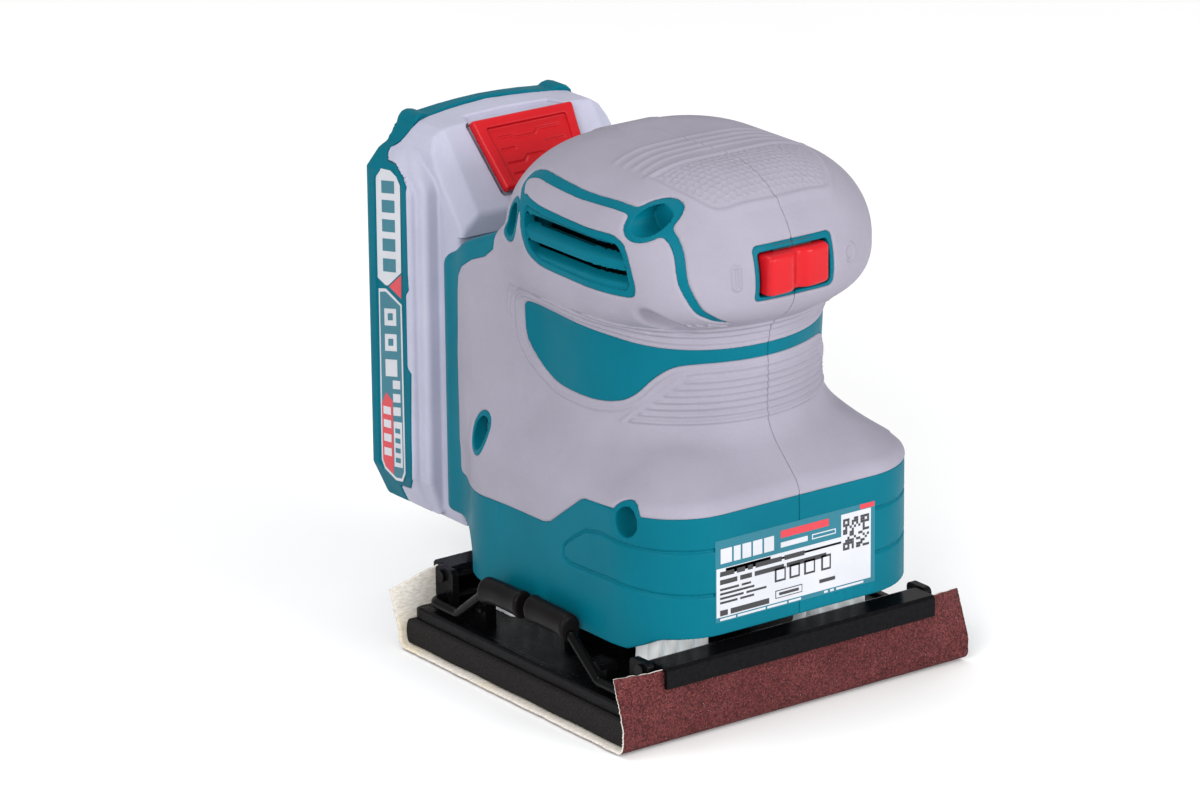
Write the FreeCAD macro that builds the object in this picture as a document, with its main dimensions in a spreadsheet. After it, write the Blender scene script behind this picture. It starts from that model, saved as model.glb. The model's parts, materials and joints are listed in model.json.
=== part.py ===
import FreeCAD, Part

import math
import os
import re

import Sketcher
from FreeCAD import Placement, Rotation, Vector

# A cordless palm sheet sander, in millimetres, +Z up.
# The motor's axis is the Z axis and the sanding face lies on Z = 0. The front, with the switch, faces -Y,
# the battery slides down onto the rear, +Y, and the two clamp levers are on the left, -X.
# The platen hangs on an eccentric pin, so at rest it stands one orbit radius in front of the motor's axis.

doc = FreeCAD.newDocument("sheet_sander")
sheet = doc.addObject("Spreadsheet::Sheet", "sizes")

SIZES = {
    # platen and what it carries
    "orbit_radius": 0.8,
    "pad_width": 110.0,
    "pad_depth": 100.0,
    "paper_width": 114.0,
    "paper_thick": 0.6,
    "flap_height": 20.0,
    "plate_width": 106.0,
    "plate_depth": 99.0,
    "plate_bottom": 7.8,
    "plate_thick": 2.5,
    "rim_top": 11.3,
    "flange_top": 19.2,
    "flange_thick": 1.5,
    "plate_hub_radius": 18.0,
    "plate_hub_top": 20.3,
    "wire_radius": 1.4,
    "wire_hole": 1.47,
    "lever_axis_in": 6.5,
    "lever_axis_height": 13.4,
    "lever_side": 50.5,
    "grip_radius": 3.1,
    "grip_height": 22.6,
    "bar_half": 44.0,
    "bar_top": 21.5,
    "bar_thick": 1.2,
    "bar_lip_bottom": 15.8,
    "bar_lip_out": 0.9,
    "pin_radius": 1.0,
    "pin_hole": 1.06,
    "barrel_radius": 2.0,
    "pin_in": 5.6,
    "pin_height": 19.5,
    "ear_thick": 2.0,
    # flexing legs
    "leg_across": 26.0,
    "leg_along": 31.0,
    "leg_post_radius": 1.9,
    "leg_post_pitch": 5.1,
    "leg_flange_thick": 2.2,
    "leg_top": 33.5,
    # drive
    "shaft_radius": 2.5,
    "shaft_fit": 2.53,
    "shaft_bottom": 24.0,
    "shaft_top": 121.5,
    "pin_journal": 5.97,
    "bearing_bore": 6.0,
    "pad_bearing_radius": 14.0,
    "pad_bearing_bottom": 12.0,
    "pad_bearing_top": 20.0,
    "motor_radius": 18.75,
    "motor_wall": 1.4,
    "motor_bottom": 60.0,
    "motor_top": 104.0,
    "motor_bearing_radius": 8.0,
    "magnet_inner": 12.4,
    "core_radius": 11.8,
    "commutator_radius": 6.0,
    "fan_radius": 28.0,
    "fan_bottom": 37.0,
    "fan_top": 49.0,
    "weight_radius": 23.0,
    # housing
    "skirt_half": 46.0,
    "skirt_front": 52.0,
    "body_rear": 45.0,
    "skirt_corner": 21.0,
    "skirt_bottom": 26.0,
    "side_bottom": 22.5,
    "skirt_top": 58.0,
    "shoulder_top": 76.0,
    "neck_half": 36.0,
    "neck_front": 37.6,
    "neck_corner": 34.0,
    "neck_rear_corner": 6.0,
    "head_half": 42.0,
    "head_front": 50.0,
    "head_rear": 42.0,
    "head_corner": 30.0,
    "head_bottom": 104.0,
    "head_top": 143.5,
    "head_round": 19.0,
    "skin": 1.4,
    "wall": 3.8,
    "column_half": 37.0,
    "column_rear": 56.5,
    "column_bottom": 33.0,
    "column_top": 106.0,
    # battery rail: a T slot in the housing and the T block on the battery
    "slot_half": 22.0,
    "slot_mouth": 17.5,
    "slot_front": 46.0,
    "slot_lip": 53.5,
    "slot_bottom": 38.0,
    "rail_play": 0.5,
    # battery
    "cell_radius": 9.15,
    "cell_length": 65.0,
    "cell_pitch": 18.4,
    "cell_lowest": 38.9,
    "cell_axis": 80.0,
    "pack_half": 36.5,
    "pack_front": 57.0,
    "pack_rear": 92.0,
    "pack_seam": 74.0,
    "pack_bottom": 28.0,
    "pack_top": 134.0,
    "pack_wall": 1.6,
    "pack_foot_chamfer": 3.0,
    "pack_slope_foot": 90.0,
    # latch, measured along and into the battery's sloping upper face
    "latch_half": 17.0,
    "latch_long": 18.0,
    "latch_thick": 3.0,
    "latch_travel": 2.5,
    # switch
    "rocker_half": 10.0,
    "rocker_height": 10.2,
    "switch_level": 119.0,
    "rocker_pivot": 46.5,
    "rocker_tilt": 6.0,
}

for row, (alias, value) in enumerate(SIZES.items(), 1):
    sheet.set(f"A{row}", alias)
    sheet.set(f"B{row}", str(value))
    sheet.setAlias(f"B{row}", alias)
doc.recompute()

ALIASES = re.compile(r"\b(" + "|".join(SIZES) + r")\b")
NODES = {}


# ---------------------------------------------------------------- helpers


def bound(text):
    """An expression over the sheet's aliases, in the form that FreeCAD binds."""
    return ALIASES.sub(r"sizes.\1", str(text))


def size(text):
    """The value now of an expression over the sheet's aliases."""
    return float(sheet.evalExpression(bound(text)))


def place(obj, x=0, y=0, z=0, rotation=None):
    """Puts an object at a place whose three coordinates are expressions."""
    if rotation is not None:
        obj.Placement = Placement(Vector(0, 0, 0), rotation)
    for axis, text in zip("xyz", (x, y, z)):
        obj.setExpression(f"Placement.Base.{axis}", bound(text))
    return obj


ALONG_X = Rotation(Vector(0, 1, 0), 90)
ALONG_Y = Rotation(Vector(1, 0, 0), -90)


def box(x0, x1, y0, y1, z0, z1):
    """A Part::Box between two corners."""
    made = doc.addObject("Part::Box", "box")
    for side, (low, high) in {"Length": (x0, x1), "Width": (y0, y1), "Height": (z0, z1)}.items():
        made.setExpression(side, bound(f"({high}) - ({low})"))
    return place(made, x0, y0, z0)


def cylinder(radius, length, x=0, y=0, z=0, rotation=None):
    """A Part::Cylinder from the given point, along Z unless it is turned."""
    made = doc.addObject("Part::Cylinder", "cylinder")
    made.setExpression("Radius", bound(radius))
    made.setExpression("Height", bound(length))
    return place(made, x, y, z, rotation)


def fuse(*shapes):
    made = doc.addObject("Part::MultiFuse", "fuse")
    made.Shapes = list(shapes)
    made.Refine = True
    return made


def common(*shapes):
    made = doc.addObject("Part::MultiCommon", "common")
    made.Shapes = list(shapes)
    return made


def cut(base, *tools):
    made = doc.addObject("Part::Cut", "cut")
    made.Base = base
    made.Tool = tools[0] if len(tools) == 1 else group(*tools)
    return made


def group(*shapes):
    """Separate solids in one object."""
    made = doc.addObject("Part::Compound", "group")
    made.Links = list(shapes)
    return made


def mirrored(source, normal, base=(0, 0, 0)):
    made = doc.addObject("Part::Mirroring", "mirrored")
    made.Source = source
    made.Normal = Vector(*normal)
    made.Base = Vector(*base)
    return made


def rounded(source, radius, test, kind="Part::Fillet"):
    """A fillet or chamfer on the edges of source that pass the test."""
    doc.recompute()
    made = doc.addObject(kind, "rounded")
    made.Base = source
    value = size(radius)
    made.Edges = [(i, value, value) for i, e in enumerate(source.Shape.Edges, 1) if test(e)]
    return made


def upright(edge):
    """True for a straight edge along Z."""
    ends = [v.Point for v in edge.Vertexes]
    return len(ends) == 2 and (ends[1] - ends[0]).cross(Vector(0, 0, 1)).Length < 1e-6


def at_height(level):
    """A test for the edges that lie flat at one height."""
    return lambda edge: edge.BoundBox.ZLength < 1e-6 and abs(edge.BoundBox.ZMin - level) < 1e-6


def sketch_on(body, plane, name):
    made = body.newObject("Sketcher::SketchObject", name)
    origin = [f for f in body.Origin.OriginFeatures if f.Role == plane][0]
    made.AttachmentSupport = [(origin, "")]
    made.MapMode = "FlatFace"
    return made


def pin_point(sketch, index, end, x, y):
    """Holds one end of a sketch line at a place given by two expressions."""
    for kind, text in (("DistanceX", x), ("DistanceY", y)):
        value = size(text)
        sketch.addConstraint(Sketcher.Constraint(kind, -1, 1, index, end, value))
        sketch.setExpression(f"Constraints[{sketch.ConstraintCount - 1}]", bound(text))


def outline(sketch, points):
    """A closed polygon whose corners are pairs of expressions."""
    corners = [Vector(size(x), size(y), 0) for x, y in points]
    for i, corner in enumerate(corners):
        sketch.addGeometry(Part.LineSegment(corner, corners[(i + 1) % len(corners)]), False)
    for i in range(len(corners)):
        after = (i + 1) % len(corners)
        sketch.addConstraint(Sketcher.Constraint("Coincident", i, 2, after, 1))
    for i, (x, y) in enumerate(points):
        pin_point(sketch, i, 1, x, y)


def prism(plane, points, start, length):
    """A PartDesign body: a polygon on an origin plane, padded from start by length along the plane's normal.

    XY_Plane takes (x, y), YZ_Plane takes (y, z) and runs along X, XZ_Plane takes (x, z) and runs along -Y.
    """
    body = doc.addObject("PartDesign::Body", "body")
    sketch = sketch_on(body, plane, "outline")
    sketch.setExpression("AttachmentOffset.Base.z", bound(start))
    outline(sketch, points)
    pad = body.newObject("PartDesign::Pad", "pad")
    pad.Profile = sketch
    pad.setExpression("Length", bound(length))
    return body


def turned(points, x=0, y=0):
    """A PartDesign body turned about a vertical axis: its corners are (radius, height)."""
    body = doc.addObject("PartDesign::Body", "turned")
    sketch = sketch_on(body, "XZ_Plane", "half")
    outline(sketch, points)
    turn = body.newObject("PartDesign::Revolution", "turn")
    turn.Profile = sketch
    turn.ReferenceAxis = (sketch, ["V_Axis"])
    turn.Angle = 360
    place(body, x, y, 0)
    return body


def ring(outer, inner, low, high, x=0, y=0):
    return turned([(inner, low), (outer, low), (outer, high), (inner, high)], x, y)


def rounded_block(half, front, rear, low, high, corner):
    """An upright block with four equal rounded corners."""
    block = box(f"-({half})", half, f"-({front})", rear, low, high)
    return rounded(block, corner, upright)


def swept(points, radius, bend):
    """A round wire along straight runs joined by tangent arcs."""
    corners = [Vector(*p) for p in points]
    edges, here = [], corners[0]
    for before, corner, after in zip(corners, corners[1:], corners[2:]):
        back, ahead = (before - corner).normalize(), (after - corner).normalize()
        turn = math.pi - back.getAngle(ahead)
        reach = bend * math.tan(turn / 2)
        first, last = corner + back * reach, corner + ahead * reach
        middle = corner + (back + ahead).normalize() * (bend / math.cos(turn / 2) - bend)
        edges += [Part.LineSegment(here, first).toShape(), Part.Arc(first, middle, last).toShape()]
        here = last
    edges.append(Part.LineSegment(here, corners[-1]).toShape())
    path = Part.Wire(edges)
    start = corners[1] - corners[0]
    profile = Part.Wire([Part.makeCircle(radius, corners[0], start)])
    shape = path.makePipeShell([profile], True, False)
    length, expected = path.Length, math.pi * radius**2 * path.Length
    if abs(shape.Volume - expected) > 0.02 * expected:
        raise RuntimeError(f"a wire of length {length:.1f} came out with the wrong volume")
    made = doc.addObject("Part::Feature", "swept")
    made.Shape = shape
    return made


def node(name, made):
    """Names a finished sub-part. Its label names its STEP file."""
    made.Label = name
    NODES[name] = made
    return made


FRONT = "-orbit_radius"  # the platen's centre along Y
PAD_Y = size(FRONT)


def rear_of(source):
    """The rear twin of a piece at the platen's front."""
    return mirrored(source, (0, 1, 0), (0, PAD_Y, 0))


# ---------------------------------------------------------------- platen


def sandpaper():
    """The sheet: flat under the pad, and folded up its front and rear edges."""
    front, rear, thick = f"({FRONT} - pad_depth / 2)", f"({FRONT} + pad_depth / 2)", "paper_thick"
    profile = [
        (f"{front} - {thick}", "flap_height"),
        (f"{front} - {thick}", 1.2),
        (f"{front} + 0.6", 0),
        (f"{rear} - 0.6", 0),
        (f"{rear} + {thick}", 1.2),
        (f"{rear} + {thick}", "flap_height"),
        (rear, "flap_height"),
        (rear, f"1.2 + {thick}"),
        (f"{rear} - 0.6", thick),
        (f"{front} + 0.6", thick),
        (front, f"1.2 + {thick}"),
        (front, "flap_height"),
    ]
    return prism("YZ_Plane", profile, "-paper_width / 2", "paper_width")


def backing_pad():
    half, low = "pad_width / 2", "paper_thick"
    front, rear = f"{FRONT} - pad_depth / 2", f"{FRONT} + pad_depth / 2"
    block = box(f"-({half})", half, front, rear, low, "plate_bottom")
    soft = rounded(block, 2, upright)
    access = cylinder(9.5, 5, 0, FRONT, "plate_bottom - 3")
    edge = rounded(soft, 1.1, at_height(size(low)), "Part::Chamfer")
    return cut(edge, access)


def span(side, inner, outer):
    """The low and high ends of a stretch between two distances on one side of zero."""
    return (f"-({outer})", f"-({inner})") if side < 0 else (inner, outer)


def wire_line(end):
    """Where a lever's cross wire lies, at the front (-1) or the rear (1)."""
    return f"({FRONT} + {end} * (pad_depth / 2 - lever_axis_in))"


def pin_line(end):
    return f"({FRONT} + {end} * (pad_depth / 2 - pin_in))"


def hinge_ear(side, end):
    """An ear of the base plate that holds one end of a clamp pin and of a cross wire."""
    top = size("pin_height + 2.4")
    x0, x1 = span(side, "bar_half + 0.6", "bar_half + 0.6 + ear_thick")
    y0, y1 = f"{wire_line(end)} - 4", f"{wire_line(end)} + 4"
    ear = box(x0, x1, y0, y1, "plate_bottom + plate_thick - 0.5", top)
    return rounded(ear, 1.5, lambda e: at_height(top)(e) and e.BoundBox.XLength > 1)


def lever_catch(end):
    """The hook that a lever's arm snaps under."""
    y0, y1 = f"{FRONT} + {end} * 27 - 3", f"{FRONT} + {end} * 27 + 3"
    post = box(-47, -43.5, y0, y1, "plate_bottom + plate_thick - 0.5", 17)
    hook = box(-48.6, -46.5, y0, y1, 15.4, 17)
    return [post, hook]


def base_plate():
    """The carrier: a plate with rims, end flanges, a bearing hub, ribs, hinge ears and the lever catches."""
    half, deep = "plate_width / 2", "plate_depth / 2"
    low, top = "plate_bottom", "plate_bottom + plate_thick"
    front, rear = f"{FRONT} - {deep}", f"{FRONT} + {deep}"
    root = f"{top} - 0.5"
    plate = rounded(box(f"-({half})", half, front, rear, low, top), 3, upright)
    solids = [plate, cylinder("plate_hub_radius", f"plate_hub_top - ({low})", 0, FRONT, low)]
    solids.append(box(-38, 38, f"{FRONT} - 0.9", f"{FRONT} + 0.9", root, "rim_top + 1.5"))
    solids.append(box(-0.9, 0.9, -38, 38, root, "rim_top + 1.5"))
    for side in (-1, 1):
        x0, x1 = span(side, f"{half} - 3", half)
        rim = box(x0, x1, f"{front} + 3", f"{rear} - 3", root, "rim_top")
        solids.append(rounded(rim, 0.8, at_height(size("rim_top"))))
    solids.append(box(-43, 43, front, f"{front} + flange_thick", root, "flange_top"))
    solids.append(box(-43, 43, f"{rear} - flange_thick", rear, root, "flange_top"))
    for x in (-34, -17, 17, 34):
        solids.append(box(x - 0.9, x + 0.9, f"{front} + 1", f"{front} + 4.2", root, 11.8))
        solids.append(box(x - 0.9, x + 0.9, f"{rear} - 4.2", f"{rear} - 1", root, 11.8))
    for end in (-1, 1):
        solids += lever_catch(end)
        solids += [hinge_ear(side, end) for side in (-1, 1)]
    holes = [
        cylinder("pad_bearing_radius + 0.02", 20, 0, FRONT, "pad_bearing_bottom"),
        cylinder(9.5, 20, 0, FRONT, f"{low} - 1"),
    ]
    for end in (-1, 1):
        holes.append(cylinder("wire_hole", 110, -55, wire_line(end), "lever_axis_height", ALONG_X))
        holes.append(cylinder("pin_hole", 110, -55, pin_line(end), "pin_height", ALONG_X))
    return cut(fuse(*solids), *holes)


def clamp_bar():
    """The front bar: a folded strip with a rolled barrel that turns on its pin."""
    pin = pin_line(-1)
    lip = f"({FRONT} - pad_depth / 2 - bar_lip_out)"
    strip = prism(
        "YZ_Plane",
        [
            (f"{lip} - bar_thick", "bar_lip_bottom"),
            (lip, "bar_lip_bottom"),
            (lip, "bar_top - bar_thick"),
            (pin, "bar_top - bar_thick"),
            (pin, "bar_top"),
            (f"{lip} - bar_thick + 0.8", "bar_top"),
            (f"{lip} - bar_thick", "bar_top - 0.8"),
        ],
        "-bar_half",
        "2 * bar_half",
    )
    barrel = cylinder("barrel_radius", "2 * bar_half", "-bar_half", pin, "pin_height", ALONG_X)
    bore = cylinder("pin_hole", "2 * bar_half + 2", "-bar_half - 1", pin, "pin_height", ALONG_X)
    return cut(fuse(strip, barrel), bore)


def clamp_pin():
    """The front bar's hinge pin, with a head at each end."""
    reach = "(bar_half + 0.7 + ear_thick)"
    shank = cylinder("pin_radius", f"2 * {reach}", f"-{reach}", pin_line(-1), "pin_height", ALONG_X)
    heads = []
    for side in (-1, 1):
        start, _ = span(side, reach, f"{reach} + 0.8")
        heads.append(cylinder(1.7, 0.8, start, pin_line(-1), "pin_height", ALONG_X))
    return fuse(shank, *heads)


def lever_wire():
    """The front lever: its cross wire is the axle, and its arm runs back on the left, up into the grip."""
    axle = size(wire_line(-1))
    z, side = size("lever_axis_height"), -size("lever_side")
    path = [
        (size("bar_half + 5"), axle, z),
        (side, axle, z),
        (side, PAD_Y - 31.5, z),
        (side, PAD_Y - 19.5, size("grip_height")),
        (side, PAD_Y - 3.5, size("grip_height")),
    ]
    return swept(path, size("wire_radius"), 2.6)


def lever_grip():
    """The soft sleeve pushed over the end of the front lever."""
    x, z = "-lever_side", "grip_height"
    body = cylinder("grip_radius", 15.4, x, f"{FRONT} - 16.9", z, ALONG_Y)
    bore = cylinder("wire_radius + 0.02", 13.4, x, f"{FRONT} - 16.95", z, ALONG_Y)
    return cut(rounded(body, 0.9, lambda e: e.Curve.TypeId == "Part::GeomCircle"), bore)


def leg(x_sign, y_sign):
    """A moulded leg: eight thin posts between two flanges, which lets the platen swing but not turn."""
    x, y = f"({x_sign} * leg_across)", f"({y_sign} * leg_along)"
    low = "(plate_bottom + plate_thick)"
    solids = []
    for bottom, top in ((low, f"{low} + leg_flange_thick"), ("leg_top - leg_flange_thick", "leg_top")):
        flange = box(f"{x} - 10", f"{x} + 10", f"{y} - 5", f"{y} + 5", bottom, top)
        solids.append(rounded(flange, 1.5, upright))
    for i in range(4):
        for j in range(2):
            px = f"{x} + leg_post_pitch * {i - 1.5}"
            py = f"{y} + leg_post_pitch * {j - 0.5}"
            solids.append(cylinder("leg_post_radius", f"leg_top - {low} - 2", px, py, f"{low} + 1"))
    return fuse(*solids)


# ---------------------------------------------------------------- drive


def pad_bearing():
    return turned(
        [
            ("bearing_bore", "pad_bearing_bottom"),
            ("bearing_bore + 2.2", "pad_bearing_bottom"),
            ("bearing_bore + 2.4", "pad_bearing_bottom + 0.5"),
            ("pad_bearing_radius - 2.4", "pad_bearing_bottom + 0.5"),
            ("pad_bearing_radius - 2.2", "pad_bearing_bottom"),
            ("pad_bearing_radius", "pad_bearing_bottom"),
            ("pad_bearing_radius", "pad_bearing_top"),
            ("pad_bearing_radius - 2.2", "pad_bearing_top"),
            ("pad_bearing_radius - 2.4", "pad_bearing_top - 0.5"),
            ("bearing_bore + 2.4", "pad_bearing_top - 0.5"),
            ("bearing_bore + 2.2", "pad_bearing_top"),
            ("bearing_bore", "pad_bearing_top"),
        ],
        0,
        FRONT,
    )


def eccentric():
    """The hub on the motor shaft, its offset journal and the balance weight opposite the offset."""
    hub = cylinder(10.5, 13.5, 0, 0, 22.5)
    shoulder = cylinder(8, 2.6, 0, FRONT, 20.1)
    journal = cylinder("pin_journal", 10, 0, FRONT, 11.9)
    disc = cylinder("weight_radius", 9, 0, 0, 25)
    half = box("-weight_radius", "weight_radius", 2, "weight_radius + 1", 24, 35)
    weight = common(disc, half)
    bore = cylinder("shaft_fit", 20, 0, 0, "shaft_bottom")
    thread = cylinder(2.55, 9, 0, FRONT, 11)
    return cut(fuse(hub, shoulder, journal, weight), bore, thread)


def eccentric_screw():
    """The screw and washer that hold the bearing on the journal."""
    return turned(
        [
            (0, 8.3),
            (4, 8.3),
            (4, 10.9),
            (8, 10.9),
            (8, 11.7),
            (2.5, 11.7),
            (2.5, 18.5),
            (0, 18.5),
        ],
        0,
        FRONT,
    )


def motor_shaft():
    low, high = "shaft_bottom", "shaft_top"
    return turned(
        [
            (0, low),
            ("shaft_radius - 0.3", low),
            ("shaft_radius", f"{low} + 0.3"),
            ("shaft_radius", f"{high} - 0.3"),
            ("shaft_radius - 0.3", high),
            (0, high),
        ]
    )


def fan():
    """The cooling and dust fan: a hub and back plate, with radial blades in a polar pattern."""
    body = doc.addObject("PartDesign::Body", "fan")
    half = sketch_on(body, "XZ_Plane", "half")
    outline(
        half,
        [
            ("shaft_fit", "fan_bottom"),
            ("fan_radius", "fan_bottom"),
            ("fan_radius", "fan_bottom + 1.5"),
            (9, "fan_bottom + 1.5"),
            (8, "fan_top"),
            ("shaft_fit", "fan_top"),
        ],
    )
    turn = body.newObject("PartDesign::Revolution", "turn")
    turn.Profile = half
    turn.ReferenceAxis = (half, ["V_Axis"])
    turn.Angle = 360
    blade_sketch = sketch_on(body, "XY_Plane", "blade_outline")
    blade_sketch.setExpression("AttachmentOffset.Base.z", bound("fan_bottom + 1"))
    outline(blade_sketch, [(7, -0.8), ("fan_radius - 0.5", 1.2), ("fan_radius - 0.5", 2.8), (7, 0.8)])
    blade = body.newObject("PartDesign::Pad", "blade")
    blade.Profile = blade_sketch
    blade.setExpression("Length", bound("fan_top - fan_bottom - 2"))
    doc.recompute()
    blades = body.newObject("PartDesign::PolarPattern", "blades")
    blades.Originals = [blade]
    blades.Axis = (half, ["V_Axis"])
    blades.Angle = 360
    blades.Occurrences = 12
    body.Tip = blades
    return body


def small_bearing(low):
    return ring("motor_bearing_radius - 0.02", "shaft_fit", low, f"{low} + 5")


def motor_can():
    """The drawn steel can, closed at the bottom round the lower bearing's seat."""
    return turned(
        [
            ("motor_bearing_radius", "motor_bottom - 6.2"),
            ("motor_bearing_radius + 1.4", "motor_bottom - 6.2"),
            ("motor_bearing_radius + 1.4", "motor_bottom"),
            ("motor_radius", "motor_bottom"),
            ("motor_radius", "motor_top"),
            ("motor_radius - motor_wall", "motor_top"),
            ("motor_radius - motor_wall", "motor_bottom + motor_wall"),
            (4, "motor_bottom + motor_wall"),
            (4, "motor_bottom"),
            ("motor_bearing_radius", "motor_bottom"),
        ]
    )


def motor_magnets():
    tube = ring("motor_radius - motor_wall - 0.05", "magnet_inner", "motor_bottom + 5", "motor_top - 3")
    gap = box(-6, 6, -20, 20, "motor_bottom", "motor_top")
    return cut(tube, gap)


def spoke(inner, outer, half, low, high, angle):
    """A block that points outwards from the Z axis at an angle in degrees."""
    made = doc.addObject("Part::Box", "spoke")
    made.setExpression("Length", bound(f"{outer} - {inner}"))
    made.setExpression("Width", bound(f"2 * {half}"))
    made.setExpression("Height", bound(f"({high}) - ({low})"))
    turn = Rotation(Vector(0, 0, 1), angle)
    corner = turn.multVec(Vector(inner, -half, 0))
    return place(made, corner.x, corner.y, low, turn)


def slot_centres():
    """The angle and centre of each of the armature's winding slots."""
    for i in range(5):
        angle = 2 * math.pi * i / 5
        yield math.degrees(angle), 8.5 * math.cos(angle), 8.5 * math.sin(angle)


def armature_core():
    """The lamination stack with five winding slots."""
    stack = ring("core_radius", "shaft_fit", "motor_bottom + 10", "motor_top - 8")
    slots = []
    for angle, x, y in slot_centres():
        slots.append(cylinder(2.2, 50, x, y, "motor_bottom + 5"))
        slots.append(spoke(8, 14, 0.7, "motor_bottom + 5", "motor_top", angle))
    return cut(stack, *slots)


def armature_windings():
    """The two coil heads and the five bundles that join them through the slots."""
    low, high = "motor_bottom + 4.5", "motor_top - 2.5"
    inner, outer, shoulder, deep = 3.5, 10.5, 9, 5.4
    lower = [(inner, low), (shoulder, low), (outer, f"{low} + 2"), (outer, f"{low} + {deep}")]
    upper = [(outer, f"{high} - {deep}"), (outer, f"{high} - 2"), (shoulder, high), (inner, high)]
    heads = [
        turned([*lower, (inner, f"{low} + {deep}")]),
        turned([(inner, f"{high} - {deep}"), *upper]),
    ]
    bundles = []
    for _, x, y in slot_centres():
        bundles.append(cylinder(1.9, "motor_top - motor_bottom - 12", x, y, "motor_bottom + 6"))
    return fuse(*heads, *bundles)


def commutator():
    body = ring("commutator_radius", "shaft_fit", "motor_top + 0.5", "motor_top + 10")
    gaps = [spoke(4.6, 8, 0.3, "motor_top + 2", "motor_top + 12", 72 * i + 36) for i in range(5)]
    return cut(body, *gaps)


def motor_end_cap():
    """The moulded cap on the can: it seats the upper bearing and guides the two brushes."""
    cap = turned(
        [
            ("motor_radius - 6", "motor_top"),
            ("motor_radius", "motor_top"),
            ("motor_radius", "motor_top + 8"),
            ("motor_radius - 2", "motor_top + 11.4"),
            ("motor_bearing_radius + 2", "motor_top + 11.4"),
            ("motor_bearing_radius + 2", "motor_top + 17"),
            ("motor_bearing_radius", "motor_top + 17"),
            ("motor_bearing_radius", "motor_top + 12"),
            (4, "motor_top + 12"),
            (4, "motor_top + 10.6"),
            ("motor_radius - 6", "motor_top + 10.6"),
        ]
    )
    tunnel = box(-2.6, 2.6, -20, 20, "motor_top + 2.4", "motor_top + 8.6")
    return cut(cap, tunnel)


def brushes():
    reach = "commutator_radius + 0.15"
    rear = box(-2.5, 2.5, reach, 15, "motor_top + 2.5", "motor_top + 8.5")
    front = box(-2.5, 2.5, -15, f"-({reach})", "motor_top + 2.5", "motor_top + 8.5")
    return group(front, rear)


def brush_springs():
    return group(*[cylinder(2, 3.4, 0, y, "motor_top + 5.5", ALONG_Y) for y in (15, -18.4)])


# ---------------------------------------------------------------- housing


def column():
    """The block at the rear that carries the battery, from the skirt's rear to just under the head."""
    lower = box("-column_half", "column_half", 22, "column_rear", "column_bottom", "shoulder_top")
    upper = box("-column_half", "column_half", "body_rear - 2", "column_rear", "column_bottom", "column_top")
    return rounded(fuse(lower, upper), 4, lambda e: at_height(size("column_top"))(e) or upright_rear(e))


def upright_rear(edge):
    return upright(edge) and abs(edge.BoundBox.YMax - size("column_rear")) < 1e-6


def plan_wire(half, front, rear, front_corner, rear_corner, z):
    """A closed plan outline of four lines and four tangent arcs at height z."""
    k = math.sqrt(0.5)

    def arc(cx, cy, radius, a, b, c):
        points = [Vector(cx + radius * u, cy + radius * v, z) for u, v in (a, b, c)]
        return Part.Arc(*points).toShape()

    fr, rr = front_corner, rear_corner
    edges = [
        Part.LineSegment(Vector(-half + fr, -front, z), Vector(half - fr, -front, z)).toShape(),
        arc(half - fr, -front + fr, fr, (0, -1), (k, -k), (1, 0)),
        Part.LineSegment(Vector(half, -front + fr, z), Vector(half, rear - rr, z)).toShape(),
        arc(half - rr, rear - rr, rr, (1, 0), (k, k), (0, 1)),
        Part.LineSegment(Vector(half - rr, rear, z), Vector(-half + rr, rear, z)).toShape(),
        arc(-half + rr, rear - rr, rr, (0, 1), (-k, k), (-1, 0)),
        Part.LineSegment(Vector(-half, rear - rr, z), Vector(-half, -front + fr, z)).toShape(),
        arc(-half + fr, -front + fr, fr, (-1, 0), (-k, -k), (0, -1)),
    ]
    return Part.Wire(edges)


def skirt_plan(inset, z):
    corner = size("skirt_corner") - inset
    half, front, rear = (size(side) - inset for side in ("skirt_half", "skirt_front", "body_rear"))
    return plan_wire(half, front, rear, corner, corner, z)


def neck_plan(inset, z):
    """The neck's plan: a full round front and a nearly square rear."""
    half, front, rear = (size(side) - inset for side in ("neck_half", "neck_front", "body_rear"))
    return plan_wire(half, front, rear, size("neck_corner") - inset, size("neck_rear_corner") - inset / 2, z)


def tower(inset):
    """Skirt, shoulder, neck and head, drawn in by inset all round."""
    off = size(inset)
    foot = "side_bottom" if off == 0 else "side_bottom - 1"
    skirt = rounded_block(
        f"(skirt_half - {inset})",
        f"(skirt_front - {inset})",
        f"(body_rear - {inset})",
        foot,
        "skirt_top",
        f"skirt_corner - {inset}",
    )
    if off == 0:
        # only the skirt's sides reach down beside the legs: its front and rear clear the clamp bars
        ends = [box(-60, 60, y, y + 30, "side_bottom - 1", "skirt_bottom") for y in (-68, 33)]
        skirt = cut(skirt, *ends)
    shoulder = doc.addObject("Part::Feature", "shoulder")
    low, high = skirt_plan(off, size("skirt_top")), neck_plan(off, size("shoulder_top"))
    shoulder.Shape = Part.makeLoft([low, high], True, True)
    neck = doc.addObject("Part::Feature", "neck")
    rise = Vector(0, 0, size("head_bottom + 8 - shoulder_top"))
    neck.Shape = Part.Face(neck_plan(off, size("shoulder_top"))).extrude(rise)
    block = rounded_block(
        f"(head_half - {inset})",
        f"(head_front - {inset})",
        f"(head_rear - {inset})",
        f"head_bottom + {inset}",
        f"head_top - {inset}",
        f"head_corner - {inset}",
    )
    domed = rounded(block, f"head_round - {inset}", at_height(size(f"head_top - {inset}")))
    head = rounded(domed, 3.5, at_height(size(f"head_bottom + {inset}")))
    return fuse(skirt, shoulder, neck, head)


# (y, z, distance from the centre plane to the head's seat) of each housing screw
SCREWS = [(-30.5, 133.0, 22), (19.5, 123.0, 31), (30.0, 62.6, 36), (-36.2, 56.6, 36), (36.0, 92.0, 30)]


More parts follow.
